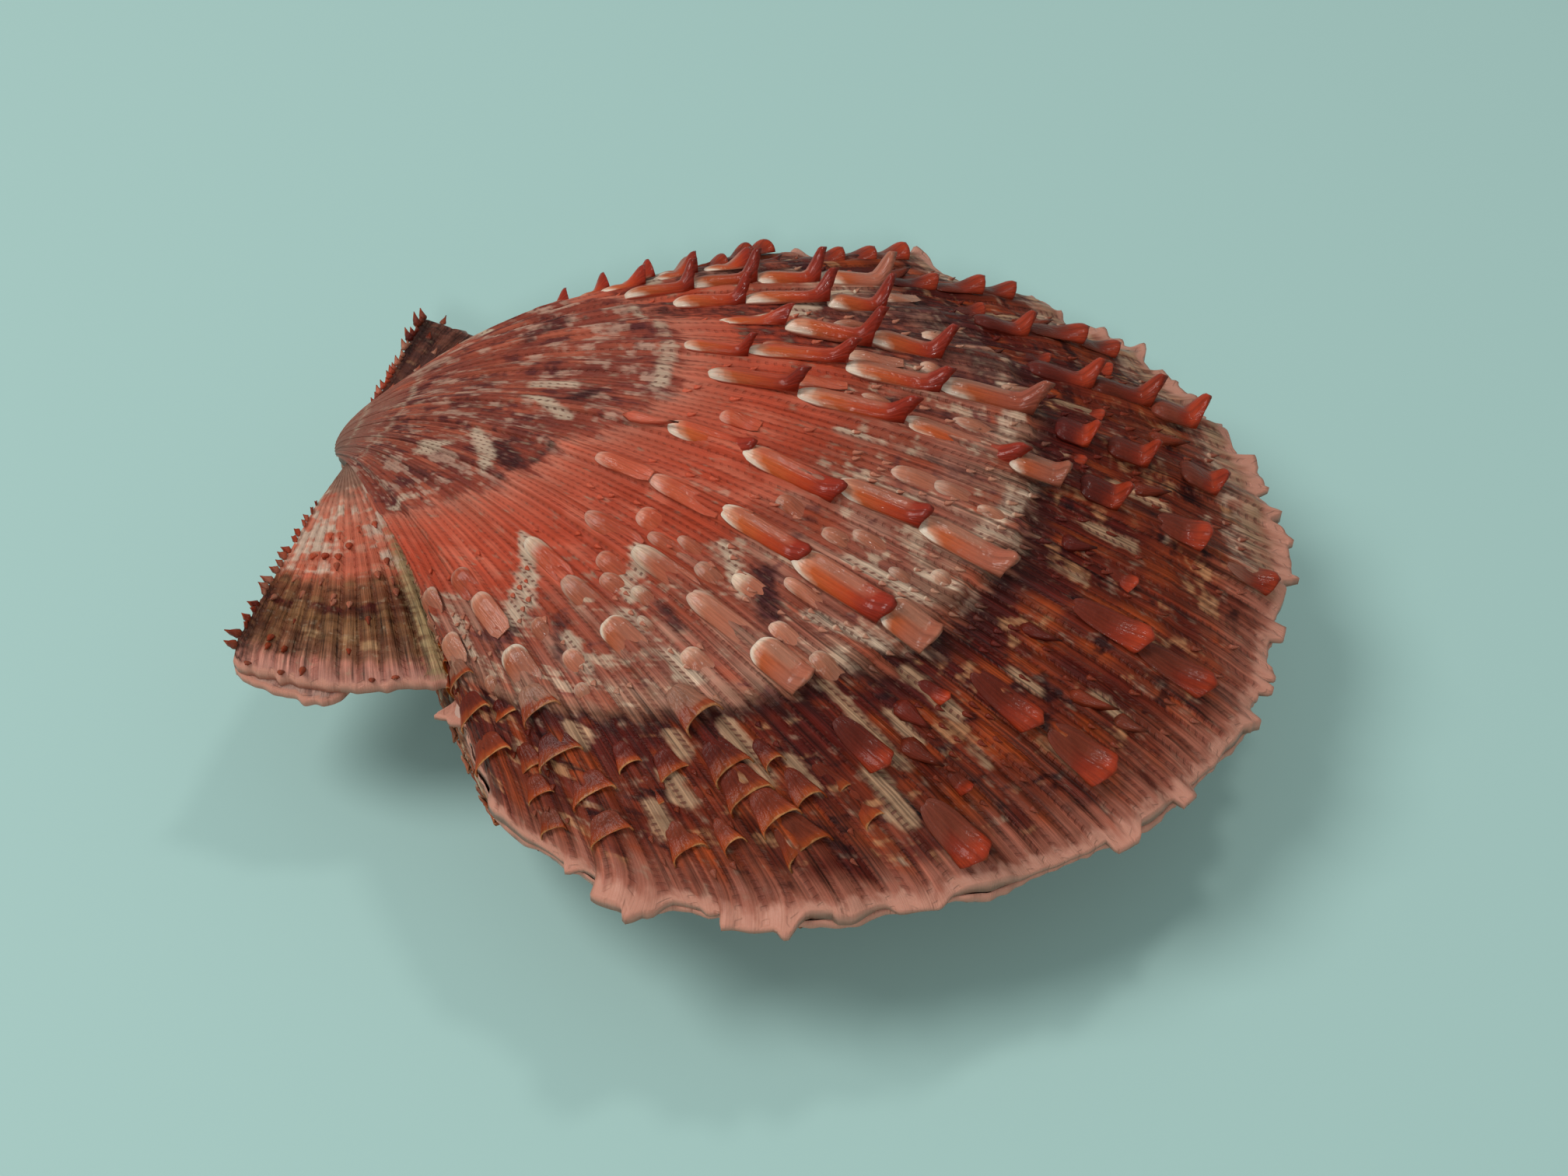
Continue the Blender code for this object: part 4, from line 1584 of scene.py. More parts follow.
def planting_tree() -> NodeTree:
    """Geometry nodes that stand one scale on each point and join the result.

    Returns:
        The node tree, with inputs for the shapes, finish, wobble and seed.
    """
    tree = bpy.data.node_groups.new("plant_scales", "GeometryNodeTree")
    sockets = (("Geometry", "Geometry"), ("Shapes", "Collection"), ("Finish", "Material"),
               ("Wobble", "Float"), ("Seed", "Int"))
    for label, kind in sockets:
        tree.interface.new_socket(label, in_out="INPUT", socket_type=f"NodeSocket{kind}")
    tree.interface.new_socket("Geometry", in_out="OUTPUT", socket_type="NodeSocketGeometry")
    wiring = Wiring(tree)
    given, made = wiring.add("NodeGroupInput"), wiring.add("NodeGroupOutput")

    def stored(name: str, kind: str) -> Plug:
        """A value stored on the points.

        Args:
            name: Name of the value.
            kind: Its type.

        Returns:
            The value's output.
        """
        node = wiring.add("GeometryNodeInputNamedAttribute", data_type=kind)
        node.inputs["Name"].default_value = name
        return node.outputs["Attribute"]

    shapes = wiring.fill(
        wiring.add("GeometryNodeCollectionInfo"), Collection=given.outputs["Shapes"],
        Separate_Children=True, Reset_Children=True,
    )
    axes = wiring.add("FunctionNodeAxesToRotation", primary_axis="Z", secondary_axis="X")
    wiring.plug(stored("up_axis", "FLOAT_VECTOR"), axes.inputs[0])
    wiring.plug(stored("growth_axis", "FLOAT_VECTOR"), axes.inputs[1])
    plant = wiring.fill(
        wiring.add("GeometryNodeInstanceOnPoints"), Points=given.outputs["Geometry"],
        Instance=shapes.outputs[0], Pick_Instance=True, Instance_Index=stored("style", "INT"),
        Rotation=axes.outputs[0], Scale=stored("size", "FLOAT_VECTOR"),
    )
    most = given.outputs["Wobble"]
    least = wiring.times(most, -1.0)
    chance = wiring.fill(
        wiring.add("FunctionNodeRandomValue", data_type="FLOAT_VECTOR"), Seed=given.outputs["Seed"],
        Min=wiring.vector(least, least, least), Max=wiring.vector(most, most, most),
    )
    turned = wiring.fill(
        wiring.add("GeometryNodeRotateInstances"), Instances=plant.outputs[0], Rotation=chance.outputs[0]
    )
    real = wiring.fill(wiring.add("GeometryNodeRealizeInstances"), Geometry=turned.outputs[0])
    finish = wiring.fill(
        wiring.add("GeometryNodeSetMaterial"), Geometry=real.outputs[0], Material=given.outputs["Finish"]
    )
    wiring.plug(finish.outputs[0], made.inputs[0])
    return tree


@dataclass
class Gardener:
    """Plants scales with geometry nodes and turns the result into a plain mesh."""

    frame: ShellFrame
    finishes: dict[Side, Material]
    tree: NodeTree = field(default_factory=planting_tree)
    shapes: Collection = field(init=False)

    def __post_init__(self) -> None:
        """Make one object of each scale shape, in the order of the styles."""
        self.shapes = bpy.data.collections.new("scale_shapes")
        for style in Style:
            name = f"{style.value:02d}_{style.name.lower()}"
            self.shapes.objects.link(bpy.data.objects.new(name, SCALE_SHAPES[style].mesh(name)))

    def plant(self, name: str, side: Side, planting: Planting, wobble: float, seed: int) -> Object:
        """Build one piece out of many scales.

        Args:
            name: Name of the piece.
            side: The valve that it belongs to.
            planting: The scales.
            wobble: Greatest random tilt, in radians.
            seed: Fixes the random tilts.

        Returns:
            A plain mesh object.
        """
        mesh = bpy.data.meshes.new(f"{name}_points")
        mesh.from_pydata(self.frame.place(np.array(planting.points), side).tolist(), [], [])
        add_values(mesh, "up_axis", self.frame.turn(np.array(planting.up), side))
        add_values(mesh, "growth_axis", self.frame.turn(np.array(planting.growth), side))
        add_values(mesh, "size", np.array(planting.sizes))
        add_values(mesh, "style", np.array(planting.styles, np.int32))
        for label, values in planting.tones.items():
            add_values(mesh, label, np.array(values, float))
        source = new_object(f"{name}_source", mesh)
        modifier = source.modifiers.new("plant scales", "NODES")
        modifier.node_group = self.tree
        finish = self.finishes[side]
        settings = {"Shapes": self.shapes, "Finish": finish, "Wobble": wobble, "Seed": seed}
        for socket in self.tree.interface.items_tree:
            if socket.in_out == "INPUT" and socket.name in settings:
                modifier[socket.identifier] = settings[socket.name]
        bpy.context.view_layer.update()
        graph = bpy.context.evaluated_depsgraph_get()
        grown = bpy.data.meshes.new_from_object(
            source.evaluated_get(graph), preserve_all_data_layers=True, depsgraph=graph
        )
        bpy.data.objects.remove(source, do_unlink=True)
        grown.name = name
        grown.shade_smooth()
        log.info("%s: %d scales, %d faces", name, len(planting.points), len(grown.polygons))
        return new_object(name, grown)

    def put_away(self) -> None:
        """Remove the scale shapes once nothing more is planted."""
        for obj in list(self.shapes.objects):
            bpy.data.objects.remove(obj, do_unlink=True)
        bpy.data.collections.remove(self.shapes)


# Main scales of the upper valve: for each rib, where each scale starts and ends, and its kind
RIB_SCALES: dict[float, tuple[tuple[float, float, Style], ...]] = {
    -0.86: ((0.56, 0.62, GREY), (0.66, 0.715, GREY), (0.725, 0.76, LEAF),
            (0.79, 0.83, LEAF), (0.86, 0.9, LEAF)),
    -0.755: ((0.49, 0.54, GREY), (0.54, 0.62, GREY), (0.64, 0.7, GREY),
             (0.71, 0.75, LEAF), (0.785, 0.82, LEAF),
             (0.84, 0.872, LEAF), (0.9, 0.93, LEAF)),
    -0.61: ((0.45, 0.515, GREY), (0.525, 0.59, GREY), (0.6, 0.66, GREY),
            (0.71, 0.755, LEAF), (0.785, 0.815, LEAF),
            (0.82, 0.85, LEAF), (0.855, 0.88, LEAF), (0.89, 0.93, LEAF)),
    -0.485: ((0.445, 0.51, GREY), (0.515, 0.588, GREY), (0.595, 0.672, GREY),
             (0.68, 0.742, GLOSSY), (0.79, 0.852, SPOON), (0.88, 0.972, SPOON)),
    -0.315: ((0.385, 0.44, GREY), (0.445, 0.51, GREY), (0.52, 0.597, GLOSSY),
             (0.605, 0.693, GLOSSY), (0.7, 0.752, GLOSSY), (0.79, 0.868, SPOON),
             (0.885, 0.945, SPOON)),
    -0.155: ((0.37, 0.41, STUB), (0.415, 0.485, GLOSSY), (0.49, 0.574, GLOSSY),
             (0.58, 0.655, GLOSSY), (0.66, 0.748, GLOSSY), (0.785, 0.865, SPOON),
             (0.88, 0.95, SPOON)),
    0.055: ((0.425, 0.5, SPINE), (0.51, 0.6, SPINE), (0.61, 0.703, SPINE),
            (0.715, 0.765, GLOSSY), (0.785, 0.825, SPINE), (0.865, 0.91, SPOON),
            (0.94, 0.982, SPOON)),
    0.18: ((0.4, 0.45, SPINE), (0.46, 0.54, SPINE), (0.555, 0.632, SPINE),
           (0.645, 0.742, SPINE), (0.765, 0.8, SPINE), (0.82, 0.862, SPINE),
           (0.9, 0.94, SPINE)),
}
SECONDARY_SCALES: dict[float, tuple[float, ...]] = {
    -0.94: (0.7, 0.755, 0.81, 0.87, 0.93), -0.81: (0.71, 0.76, 0.83, 0.88, 0.93),
    -0.695: (0.58, 0.635, 0.69, 0.78, 0.83, 0.89), -0.655: (0.79, 0.84, 0.885),
    -0.565: (0.53, 0.6, 0.66, 0.79, 0.83), -0.54: (0.5, 0.56, 0.83, 0.87),
    -0.44: (0.5, 0.56, 0.66, 0.71, 0.83, 0.88), -0.41: (0.47, 0.52, 0.59, 0.79),
    -0.365: (0.62, 0.78), -0.255: (0.6, 0.67, 0.865, 0.91), -0.22: (0.545, 0.62, 0.7, 0.79),
    -0.055: (0.45, 0.615, 0.655, 0.7, 0.78, 0.83), 0.115: (0.5, 0.57, 0.66, 0.76, 0.84),
    0.245: (0.48, 0.56, 0.64, 0.72, 0.8, 0.88), 0.38: (0.5, 0.58, 0.68, 0.8, 0.88),
    0.515: (0.5, 0.6, 0.7, 0.8, 0.9), 0.645: (0.55, 0.65, 0.75, 0.85), 0.77: (0.6, 0.7, 0.8, 0.9),
    0.9: (0.65, 0.75, 0.85, 0.93),
}


def even_scales(index: int, fan: float) -> tuple[tuple[float, float, Style], ...]:
    """Scales of a rib on the far side, spaced as the near ribs' are.

    Args:
        index: Number of the rib.
        fan: Fan position of the rib.

    Returns:
        Start, end and kind of each scale.
    """
    scales = []
    stage = 0.42 + 0.012 * math.sin(2.4 * index)
    while stage < 0.93:
        length = (0.075 if stage < 0.7 else 0.055) * (1 + 0.12 * math.sin(5.1 * index + 37 * stage))
        end = min(stage + length, 0.975)
        if end < 0.75 or stage > 0.745:
            style = SPINE if fan < 0.6 and math.sin(9 * stage + index) > -0.5 else SPOON
            scales.append((stage, end, style))
        stage = end + 0.012
    return tuple(scales)


@dataclass
class UpperScales:
    """All scales that stand on the upper valve's disc."""

    form: ValveForm
    garden: Gardener
    widths: dict[Style, float] = field(default_factory=lambda: {
        GLOSSY: 0.046, SPINE: 0.038, GREY: 0.038, LEAF: 0.034,
        SPOON: 0.034, STUB: 0.03,
    })
    reach: float = 0.016
    tuck: float = 0.003
    lip_length: float = 0.068
    sink: float = 0.22 * MM
    grey_until: float = 0.72
    leaf_fan: float = -0.5
    minor_width: float = 1.5 * MM
    dark_season: tuple[float, float] = (0.735, 0.77)
    seed: int = 7

    def place(self, planting: Planting, fan: float, start: float, end: float, width: float,
              height: float, style: Style, chance: float) -> None:
        """Note one scale that lies along the growth of the valve.

        Args:
            planting: The list to add to.
            fan: Fan position of the scale.
            start: Stage of its head.
            end: Stage of the end of its body.
            width: Width in metres.
            height: Height of its body in metres.
            style: Its kind.
            chance: A random number from 0 to 1 that varies its tone.
        """
        base, tip = self.form.sculpted(np.array([fan, fan]), np.array([start, min(end, 1.0)]))
        middle = (start + end) / 2
        up = self.form.outward(np.array(fan), np.array(middle))
        if style is GREY:
            tip = tip - self.sink * up
        dusk = float(fade(np.array(middle), *self.dark_season))
        grey = float(style is GREY) * 0.9 + 0.5 * float(fade(np.array(middle), 0.66, 0.72))
        leaf = 0.85 * float(style is LEAF) + 0.3 * float(fade(np.array(-fan), 0.5, 0.6)) * dusk
        minor = style is GREY and width < self.minor_width
        merged = 1.0 if style is STUB else 0.6 * float(minor)
        pale = float(paint(UPPER_STREAKS, Mark.PALE, fan, start))
        planting.add(
            base, tip, up, width, height, style,
            dusk=dusk * (1 - leaf), grey=min(grey * (1 - dusk), 1.0) * (1 - leaf), leaf=leaf,
            tone=chance, pale=pale, blend=merged, age=middle,
        )

    def main_scales(self) -> Object:
        """The large hollow scales and spines on the main ribs.

        Returns:
            One plain mesh object.
        """
        random = np.random.default_rng(self.seed)
        planting = Planting()
        for index, rib in enumerate(self.form.ribs.ribs):
            scales = RIB_SCALES.get(rib) or even_scales(index, rib)
            following = [*(scale[0] for scale in scales[1:]), 1.0]
            for (start, end, style), after in zip(scales, following):
                end = after + self.tuck if after - end < self.reach else end
                start = max(start, end - self.lip_length) if style is SPOON else start
                across = self.widths[style] * FAN_LENGTH * (start + end) / 2
                height = BODY_HEIGHTS[style] * (0.55 + 0.6 * end) * random.uniform(0.85, 1.15)
                height *= (1 + 0.3 * float(rib > 0.3)) * (1 if start < 0.75 else 0.7)
                fan = rib + random.uniform(-0.008, 0.008)
                self.place(planting, fan, start, end, across * random.uniform(0.85, 1.12), height,
                           style, random.uniform(0.2, 0.8))
        return self.garden.plant("upper_main_scales", Side.UPPER, planting, 0.08, 3)

    def small_scales(self) -> Object:
        """The small scales on secondary ribs and riblets.

        Returns:
            One plain mesh object.
        """
        random = np.random.default_rng(self.seed + 1)
        planting = Planting()
        for fan, starts in SECONDARY_SCALES.items():
            for start in starts:
                length = random.uniform(0.024, 0.04)
                style = SPOON if random.uniform() < 0.6 else STUB
                if start < self.grey_until:
                    style = GREY
                    length *= 1.6
                elif fan < self.leaf_fan and start > 0.74:
                    style = LEAF
                height = random.uniform(0.32, 0.5) * (0.4 if style in (LEAF, SPOON) else 1)
                self.place(planting, fan + random.uniform(-0.01, 0.01), start, start + length,
                           random.uniform(0.8, 1.4) * MM, height * MM, style, random.uniform(0.2, 1.0))
        counts = self.form.ribs.riblet(np.array([-1.0, 1.0]))
        fine = np.linspace(-0.97, 0.97, 2000)
        crests = np.interp(np.arange(counts[0] + 1, counts[1]), self.form.ribs.riblet(fine), fine)
        for fan in crests:
            if float(self.form.ribs.crest(np.array(fan))) > 0.35:
                continue
            stage = 0.4 + random.uniform(0, 0.04)
            while stage < 0.96:
                keep = 0.12 + 0.15 * float(fade(np.array(stage), 0.5, 0.7))
                keep += 0.7 * float(paint(UPPER_STREAKS, Mark.PALE, fan, stage))
                if random.uniform() < keep:
                    self.place(planting, fan, stage, stage + random.uniform(0.007, 0.011),
                               random.uniform(0.28, 0.42) * MM, random.uniform(0.14, 0.22) * MM,
                               STUB, random.uniform(0.7, 1.0))
                stage += random.uniform(0.016, 0.03)
        return self.garden.plant("upper_small_scales", Side.UPPER, planting, 0.12, 5)


@dataclass
class LowerScales:
    """The low scales in rows along the lower valve's ribs."""

    form: ValveForm
    garden: Gardener
    floor_clearance: float = 0.9 * MM
    first: float = 0.35
    last: float = 0.9
    widest_fan: float = 0.92
    rows: tuple[tuple[float, float], ...] = ((0.0, 0.032), (-0.04, 0.016), (0.04, 0.016))
    seed: int = 19

    def build(self) -> Object:
        """Plant scales wherever the valve stands clear of what it rests on.

        Returns:
            One plain mesh object.
        """
        random = np.random.default_rng(self.seed)
        planting = Planting()
        for rib in self.form.ribs.ribs:
            for shift, wide in self.rows:
                stage = self.first + random.uniform(0, 0.04)
                while stage < self.last:
                    fan = rib + shift + random.uniform(-0.003, 0.003)
                    length = random.uniform(0.022, 0.03)
                    base, tip = self.form.sculpted(np.array([fan, fan]), np.array([stage, stage + length]))
                    height = random.uniform(0.2, 0.3) * MM * (1.0 if shift == 0 else 0.6)
                    clear = base[2] < self.form.rest_depth - self.floor_clearance - height
                    if clear and abs(fan) < self.widest_fan:
                        planting.add(
                            base, tip, self.form.outward(np.array(fan), np.array(stage)),
                            wide * FAN_LENGTH * stage, height, STUB,
                            tone=random.uniform(0.3, 1.0), blend=random.uniform(0.2, 0.9),
                            pale=random.uniform(0.0, 0.9) * (random.uniform() < 0.4), age=stage,
                        )
                    stage += random.uniform(0.032, 0.045)
        return self.garden.plant("lower_scales", Side.LOWER, planting, 0.08, 9)


@dataclass
class Disc:
    """The fan-shaped disc of one valve: a ribbed outside and a smooth hollow inside."""

    name: str
    form: ValveForm
    frame: ShellFrame
    finish: Material
    streaks: Sequence[Streak]
    columns: int = 641
    rows: int = 118
    wall: float = 1.2 * MM
    middle: float = 30.0 * MM
    halt_rows: tuple[float, float, int] = (-0.006, 0.006, 5)
    fringe_rows: tuple[float, float, int] = (0.966, 0.9985, 14)
    rings: tuple[float, ...] = (0.985, 0.955, 0.91, 0.84, 0.74, 0.6, 0.42, 0.2)

    def stages(self) -> Array:
        """Stages of the rows, closer together where growth halted and at the margin.

        Returns:
            Rising stages, with none twice.
        """
        even = np.linspace(0.022, 1.0, self.rows)
        halt = self.form.late_stop + np.linspace(*self.halt_rows)
        return np.unique(np.round(np.concatenate([even, halt, np.linspace(*self.fringe_rows)]), 4))

    def hollow(self, points: Array, rows: int, loop: Array,
               wave: Array) -> list[Array]:
        """Rings of the inside, from the edge where the valves meet to its middle.

        Args:
            points: The outside, as rows, columns and coordinates.
            rows: Number of rows.
            loop: The outside's border points, in order.
            wave: Height of the wavy meeting line at each border point.

        Returns:
            One array of points for each ring.
        """
        flat = points.reshape(-1, 3)
        outside = BVHTree.FromPolygons(flat.tolist(), grid_faces(rows, self.columns))
        edge = loop.copy()
        edge[:, 2] = self.form.gap / 2 + self.form.side.value * wave
        centre = np.array([self.middle, 0.0])
        rings = [edge]
        for share in self.rings:
            ring = edge.copy()
            ring[:, :2] = centre + (edge[:, :2] - centre) * share
            for index, (x, y, floor) in enumerate(ring):
                hit = outside.ray_cast(Vector((x, y, -0.02)), Vector((0, 0, 1)))[0]
                roof = hit.z if hit is not None else 0.0
                wall = self.wall * min(1.0, 0.45 + 6 * (1 - share))
                ring[index, 2] = max(floor * (share > 0.98), roof - wall, self.form.gap / 2)
            rings.append(ring)
        return rings

    def build(self) -> Object:
        """Build the disc as one closed mesh with its growth map, its markings and its painted shade.

        Returns:
            The disc's object, with its finish.
        """
        stages = self.stages()
        rows = len(stages)
        fan, stage = np.meshgrid(np.linspace(-1, 1, self.columns), stages)
        points = self.form.sculpted(fan, stage)
        count = points.size // 3
        plan = self.form.plan
        tip = np.array([[plan.beak_x - plan.beak_lean, 0.0, plan.beak_height]])
        border = border_loop(rows, self.columns)[: 2 * rows + self.columns - 2]
        loop_numbers = np.concatenate([[count], border])
        loop = np.concatenate([tip, points.reshape(-1, 3)[border]])
        loop_fan = np.concatenate([[0.0], fan.ravel()[border]])
        loop_stage = np.concatenate([[0.0], stage.ravel()[border]])
        wave = self.form.wave(loop_fan) * loop_stage**self.form.wave_onset
        rings = self.hollow(points, rows, loop, wave)
        size = len(loop)
        faces = grid_faces(rows, self.columns)
        faces += [[count, column + 1, column] for column in range(self.columns - 1)]
        previous = loop_numbers
        for index, _ in enumerate(rings):
            following = count + 1 + index * size + np.arange(size)
            faces += stitch(previous, following)
            previous = following
        cap = count + 1 + len(rings) * size
        faces += [[int(a), int(b), cap] for a, b in zip(previous, np.roll(previous, -1))]
        top = np.array([[self.middle, 0.0, float(rings[-1][:, 2].mean())]])
        every = np.concatenate([points.reshape(-1, 3), tip, *rings, top])
        mesh = new_mesh(self.name, self.frame.place(every, self.form.side), faces)
        every_fan = np.concatenate([fan.ravel(), [0.0], np.tile(loop_fan, len(rings)), [0.0]])
        every_stage = np.concatenate([stage.ravel(), [0.0], np.tile(loop_stage, len(rings)), [0.5]])
        inner = np.zeros(len(every))
        inner[count + 1 + size:] = 1.0
        self.store(mesh, every_fan, every_stage, inner)
        disc = new_object(self.name, mesh)
        mesh.materials.append(self.finish)
        log.info("%s: %d points, %d faces", self.name, len(mesh.vertices), len(mesh.polygons))
        return disc

    def store(self, mesh: Mesh, fan: Array, stage: Array, inner: Array) -> None:
        """Store what the finish reads: the growth map, the age, the riblets, the markings and the painted
        shade.

        Args:
            mesh: The disc's mesh.
            fan: Fan position of each point.
            stage: Stage of each point.
            inner: 1 for each point of the inside.
        """
        add_growth_map(mesh, fan, stage)
        add_values(mesh, "age", self.form.age(fan, stage))
        add_values(mesh, "riblet", self.form.ribs.riblet(fan))
        add_values(mesh, "inner", inner)
        for mark in Mark:
            add_values(mesh, mark.value, paint(self.streaks, mark, fan, stage))


@dataclass
class Ear:
    """One ear: a corded plate that closes the shell beside the beak."""

    name: str
    form: EarForm
    frame: ShellFrame
    finish: Material
    rows: int = 120
    columns: int = 160
    fasciole: float = 0.0

    def build(self) -> Object:
        """Build the ear as one closed mesh with its growth map.

        Returns:
            The ear's object, with its finish.
        """
        stages = np.linspace(0.06, 1.0, self.rows)
        shares = np.concatenate([[-1.0, -0.5], np.linspace(0, 1, self.columns - 2)])
        share, stage = np.meshgrid(shares, stages)
        points = self.form.surface(share, stage).reshape(-1, 3)
        loop = border_loop(self.rows, self.columns)
        floor = points[loop].copy()
        floor[:, 2] = self.form.valve.gap / 2
        count = len(points)
        following = count + np.arange(len(loop))
        faces = grid_faces(self.rows, self.columns) + stitch(loop, following)
        faces.append(following[::-1].tolist())
        side = self.form.valve.side
        mesh = new_mesh(self.name, self.frame.place(np.concatenate([points, floor]), side), faces)
        every_share = np.concatenate([share.ravel(), share.ravel()[loop]])
        every_stage = np.concatenate([stage.ravel(), stage.ravel()[loop]])
        add_growth_map(mesh, every_share * 0.28, every_stage)
        wander = 0.006 * drift(every_share * 7, every_stage * 4, 41)
        add_values(mesh, "age", every_stage + wander)
        add_values(mesh, "riblet", self.form.cord_count(every_share))
        add_values(mesh, "inner", np.zeros(len(every_share)))
        crease = fade(every_share, 0.22, 0.04) * fade(every_stage, 0.35, 0.6)
        add_values(mesh, Mark.GOLD.value, crease)
        smooth_strip = fade(every_share, self.fasciole + 0.04, self.fasciole - 0.04) * (self.fasciole > 0)
        add_values(mesh, Mark.PALE.value, smooth_strip)
        hinge = fade(every_share, 0.8, 1.0) * fade(every_stage, 0.6, 0.75) * 0.8
        add_values(mesh, Mark.DARK.value, hinge)
        ear = new_object(self.name, mesh)
        mesh.materials.append(self.finish)
        log.info("%s: %d faces", self.name, len(mesh.polygons))
        return ear


@dataclass
class HingeSpines:
    """Small spines along the hinge edge and the cords of an upper ear."""

    name: str
    form: EarForm
    garden: Gardener
    dusk: float
    seed: int

    def build(self) -> Object:
        """Plant the spines, longest near the ear's corner.

        Returns:
            One plain mesh object.
        """
        random = np.random.default_rng(self.seed)
        planting = Planting()
        for stage in np.arange(0.3, 0.97, 0.036):
            place = float(stage + random.uniform(-0.008, 0.008))
            base = self.form.surface(np.array(0.985), np.array(place))
            lean = unit(np.array([-0.75, 0.45 * self.form.hand, 0.35 + random.uniform(-0.2, 0.3)]))
            length = random.uniform(0.15, 0.75) * MM * (0.35 + 0.85 * place)
            up = unit(np.array([0.25, 0.1 * self.form.hand, 1.0]))
            planting.add(base, base + lean * length, up, 0.6 * MM, 0.3 * MM, STUB,
                         leaf=0.5, dusk=self.dusk, tone=random.uniform(0.2, 0.8), age=place)
        for cord in range(2, int(self.form.cords)):
            for stage in np.arange(0.42, 0.98, 0.05):
                place = float(stage + random.uniform(-0.015, 0.015))
                if random.uniform() < 0.7:
                    continue
                share = np.array([cord / self.form.cords] * 2)
                base, tip = self.form.surface(share, np.array([place, min(place + 0.035, 0.995)]))
                planting.add(base, tip, np.array([0.0, 0.0, 1.0]), random.uniform(0.35, 0.55) * MM,
                             random.uniform(0.1, 0.2) * MM, STUB, leaf=0.4,
                             dusk=self.dusk * 0.6, tone=random.uniform(0.3, 0.9), blend=0.5,
                             pale=random.uniform(0.0, 0.8) * (place < 0.68), age=place * 0.98)
        return self.garden.plant(self.name, self.form.valve.side, planting, 0.15, self.seed)


# The studio


@dataclass(frozen=True)
class Studio:
    """A plain pale floor, soft lights and the camera."""

    floor_size: float = 3.0
    floor_colour: Colour = (0.37, 0.55, 0.525)
    camera_place: tuple[float, float, float] = (20.8 * MM, -91.1 * MM, 100.85 * MM)
    heading: float = math.radians(13.3)
    downward: float = math.radians(45.83)
    roll: float = math.radians(1.32)
    lens: float = 51.8

    def lay_floor(self) -> Object:
        """A wide pale floor just under the shell.

        Returns:
            The floor's object.
        """
        shape = bmesh.new()
        bmesh.ops.create_grid(shape, x_segments=8, y_segments=8, size=self.floor_size / 2)
        bmesh.ops.translate(shape, vec=(0, 0, -0.02 * MM), verts=shape.verts)
        mesh = bpy.data.meshes.new("floor")
        shape.to_mesh(mesh)
        shape.free()
        material, wiring, shader = new_material("pale_floor")
        cloud = wiring.noise(wiring.add("ShaderNodeTexCoord").outputs["Object"], 3.0, 2.0)
        tint = wiring.blend(wiring.times(cloud, 0.12), self.floor_colour, (0.4, 0.57, 0.54))
        wiring.fill(shader, Base_Color=tint, Roughness=0.6, Specular_IOR_Level=0.2)
        mesh.materials.append(material)
        return new_object("floor", mesh)

    def hang_lights(self) -> None:
        """One wide soft light above, a smaller one behind for glints, and a faint sky."""
        lights = (
            ("key_softbox", (-0.30, -0.08, 0.42), (0, 0, 0.01), 0.26, 1.55, (1.0, 0.98, 0.95)),
            ("glint_light", (0.06, 0.22, 0.36), (0, 0, 0.01), 0.06, 0.25, (1.0, 0.97, 0.92)),
            ("front_light", (0.1, -0.42, 0.34), (0, 0, 0.01), 0.06, 0.75, (1.0, 1.0, 0.98)),
        )
        for name, place, target, size, power, colour in lights:
            light = bpy.data.lights.new(name, "AREA")
            light.shape = "DISK"
            light.size = size
            light.energy = power
            light.color = colour
            obj = bpy.data.objects.new(name, light)
            bpy.context.scene.collection.objects.link(obj)
            obj.location = place
            obj.rotation_euler = (Vector(target) - Vector(place)).to_track_quat("-Z", "Y").to_euler()
        world = bpy.data.worlds.new("studio_air")
        bpy.context.scene.world = world
        world.use_nodes = True
        background = world.node_tree.nodes["Background"]
        background.inputs["Color"].default_value = (0.8, 0.97, 0.96, 1.0)
        background.inputs["Strength"].default_value = 0.31

    def set_camera(self) -> None:
        """Stand the camera where it looks down on the shell from its front side."""
        sight = Vector((
            -math.sin(self.heading) * math.cos(self.downward),
            math.cos(self.heading) * math.cos(self.downward),
            -math.sin(self.downward),
        ))
        right = Vector((math.cos(self.heading), math.sin(self.heading), 0.0))
        up = right.cross(sight)
        leaning = right * math.cos(self.roll) + up * math.sin(self.roll)
        upright = up * math.cos(self.roll) - right * math.sin(self.roll)
        turned = Matrix((leaning, upright, -sight)).transposed().to_4x4()
        camera = bpy.data.cameras.new("camera")
        camera.lens = self.lens
        camera.clip_start = 0.005
        obj = bpy.data.objects.new("camera", camera)
        bpy.context.scene.collection.objects.link(obj)
        obj.matrix_world = Matrix.Translation(Vector(self.camera_place)) @ turned
        bpy.context.scene.camera = obj
        bpy.context.scene.view_settings.view_transform = "Standard"


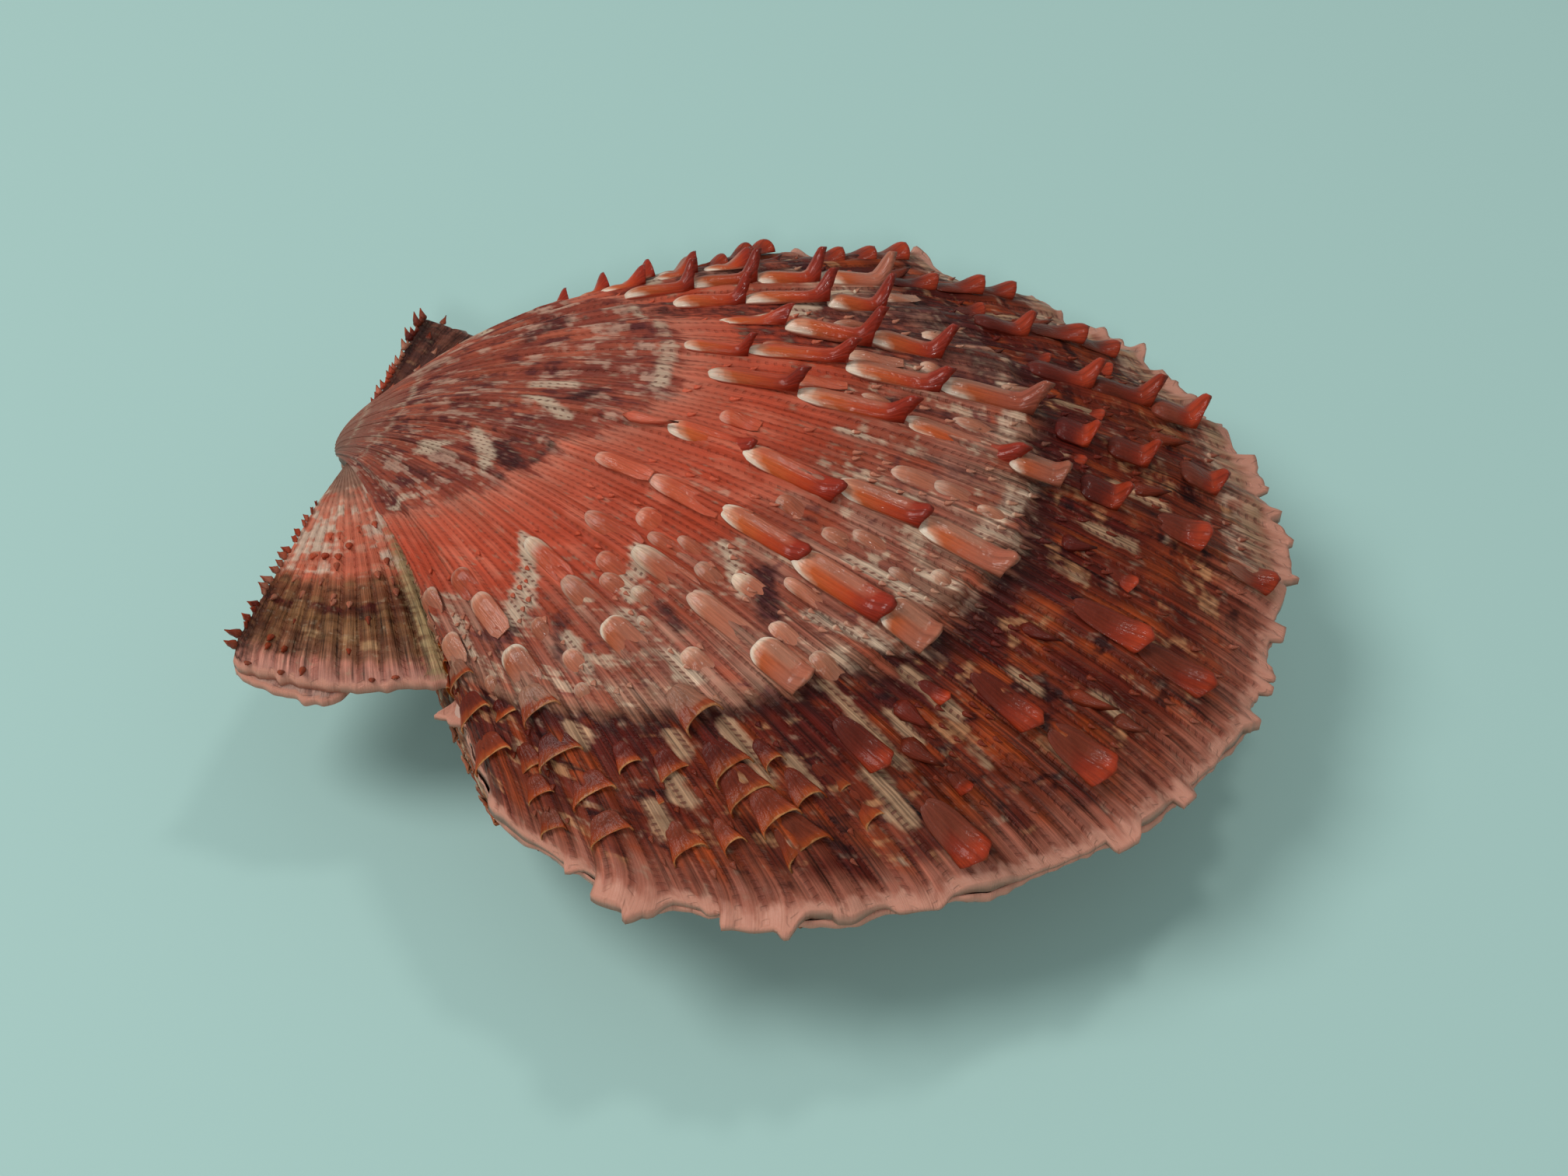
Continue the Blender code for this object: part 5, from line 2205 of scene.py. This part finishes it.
@dataclass
class ScallopShell:
    """The whole shell: two valves with their ears and scales, and the ligament."""

    frame: ShellFrame
    groups: Groups
    garden: Gardener

    def upper_valve(self) -> None:
        """Build the upper valve's disc, ears, scales and hinge spines."""
        disc = Disc("upper_disc", UPPER, self.frame, UPPER_FINISH.make(self.groups), UPPER_STREAKS).build()
        front = Ear("upper_front_ear", UPPER_FRONT_EAR, self.frame,
                    UPPER_EAR_FINISH.make(self.groups)).build()
        back = Ear("upper_back_ear", UPPER_BACK_EAR, self.frame, BACK_EAR_FINISH.make(self.groups)).build()
        scales = UpperScales(UPPER, self.garden)
        pieces = [disc, front, back, scales.main_scales(), scales.small_scales(),
                  HingeSpines("front_hinge_spines", UPPER_FRONT_EAR, self.garden, 0.2, 23).build(),
                  HingeSpines("back_hinge_spines", UPPER_BACK_EAR, self.garden, 0.7, 29).build()]
        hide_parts("upper_valve")
        self.attach(pieces, "upper_valve")

    def lower_valve(self) -> None:
        """Build the lower valve's disc, ears and scales."""
        disc = Disc("lower_disc", LOWER, self.frame, LOWER_FINISH.make(self.groups), LOWER_STREAKS).build()
        finish = LOWER_EAR_FINISH.make(self.groups)
        front = Ear("lower_front_ear", LOWER_FRONT_EAR, self.frame, finish, fasciole=0.3).build()
        back = Ear("lower_back_ear", LOWER_BACK_EAR, self.frame, finish).build()
        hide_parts("lower_valve")
        self.attach([disc, front, back, LowerScales(LOWER, self.garden).build()], "lower_valve")

    def ligament(self, node: Object) -> None:
        """Dress the ligament's own solid."""
        node.data.materials.clear()
        node.data.materials.append(LigamentFinish().make())

    @staticmethod
    def attach(pieces: Sequence[Object], slot: str) -> None:
        """Make pieces ride with the shell."""
        for piece in pieces:
            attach(piece, BODY)


def main() -> None:
    """Build the shell and the studio, in order."""
    logging.basicConfig(level=logging.INFO, format="%(name)s: %(message)s")
    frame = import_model()
    studio = Studio()
    studio.set_camera()
    studio.hang_lights()
    studio.lay_floor()
    place = ShellFrame()
    finishes = {Side.UPPER: SCALE_FINISH.make(), Side.LOWER: LOWER_SCALE_FINISH.make()}
    shell = ScallopShell(place, Groups(), Gardener(place, finishes))
    shell.upper_valve()
    shell.lower_valve()
    shell.ligament(frame["nodes"]["hinge_ligament"])
    log.info("hinge_ligament: dressed")
    shell.garden.put_away()


if __name__ == "__main__":
    main()
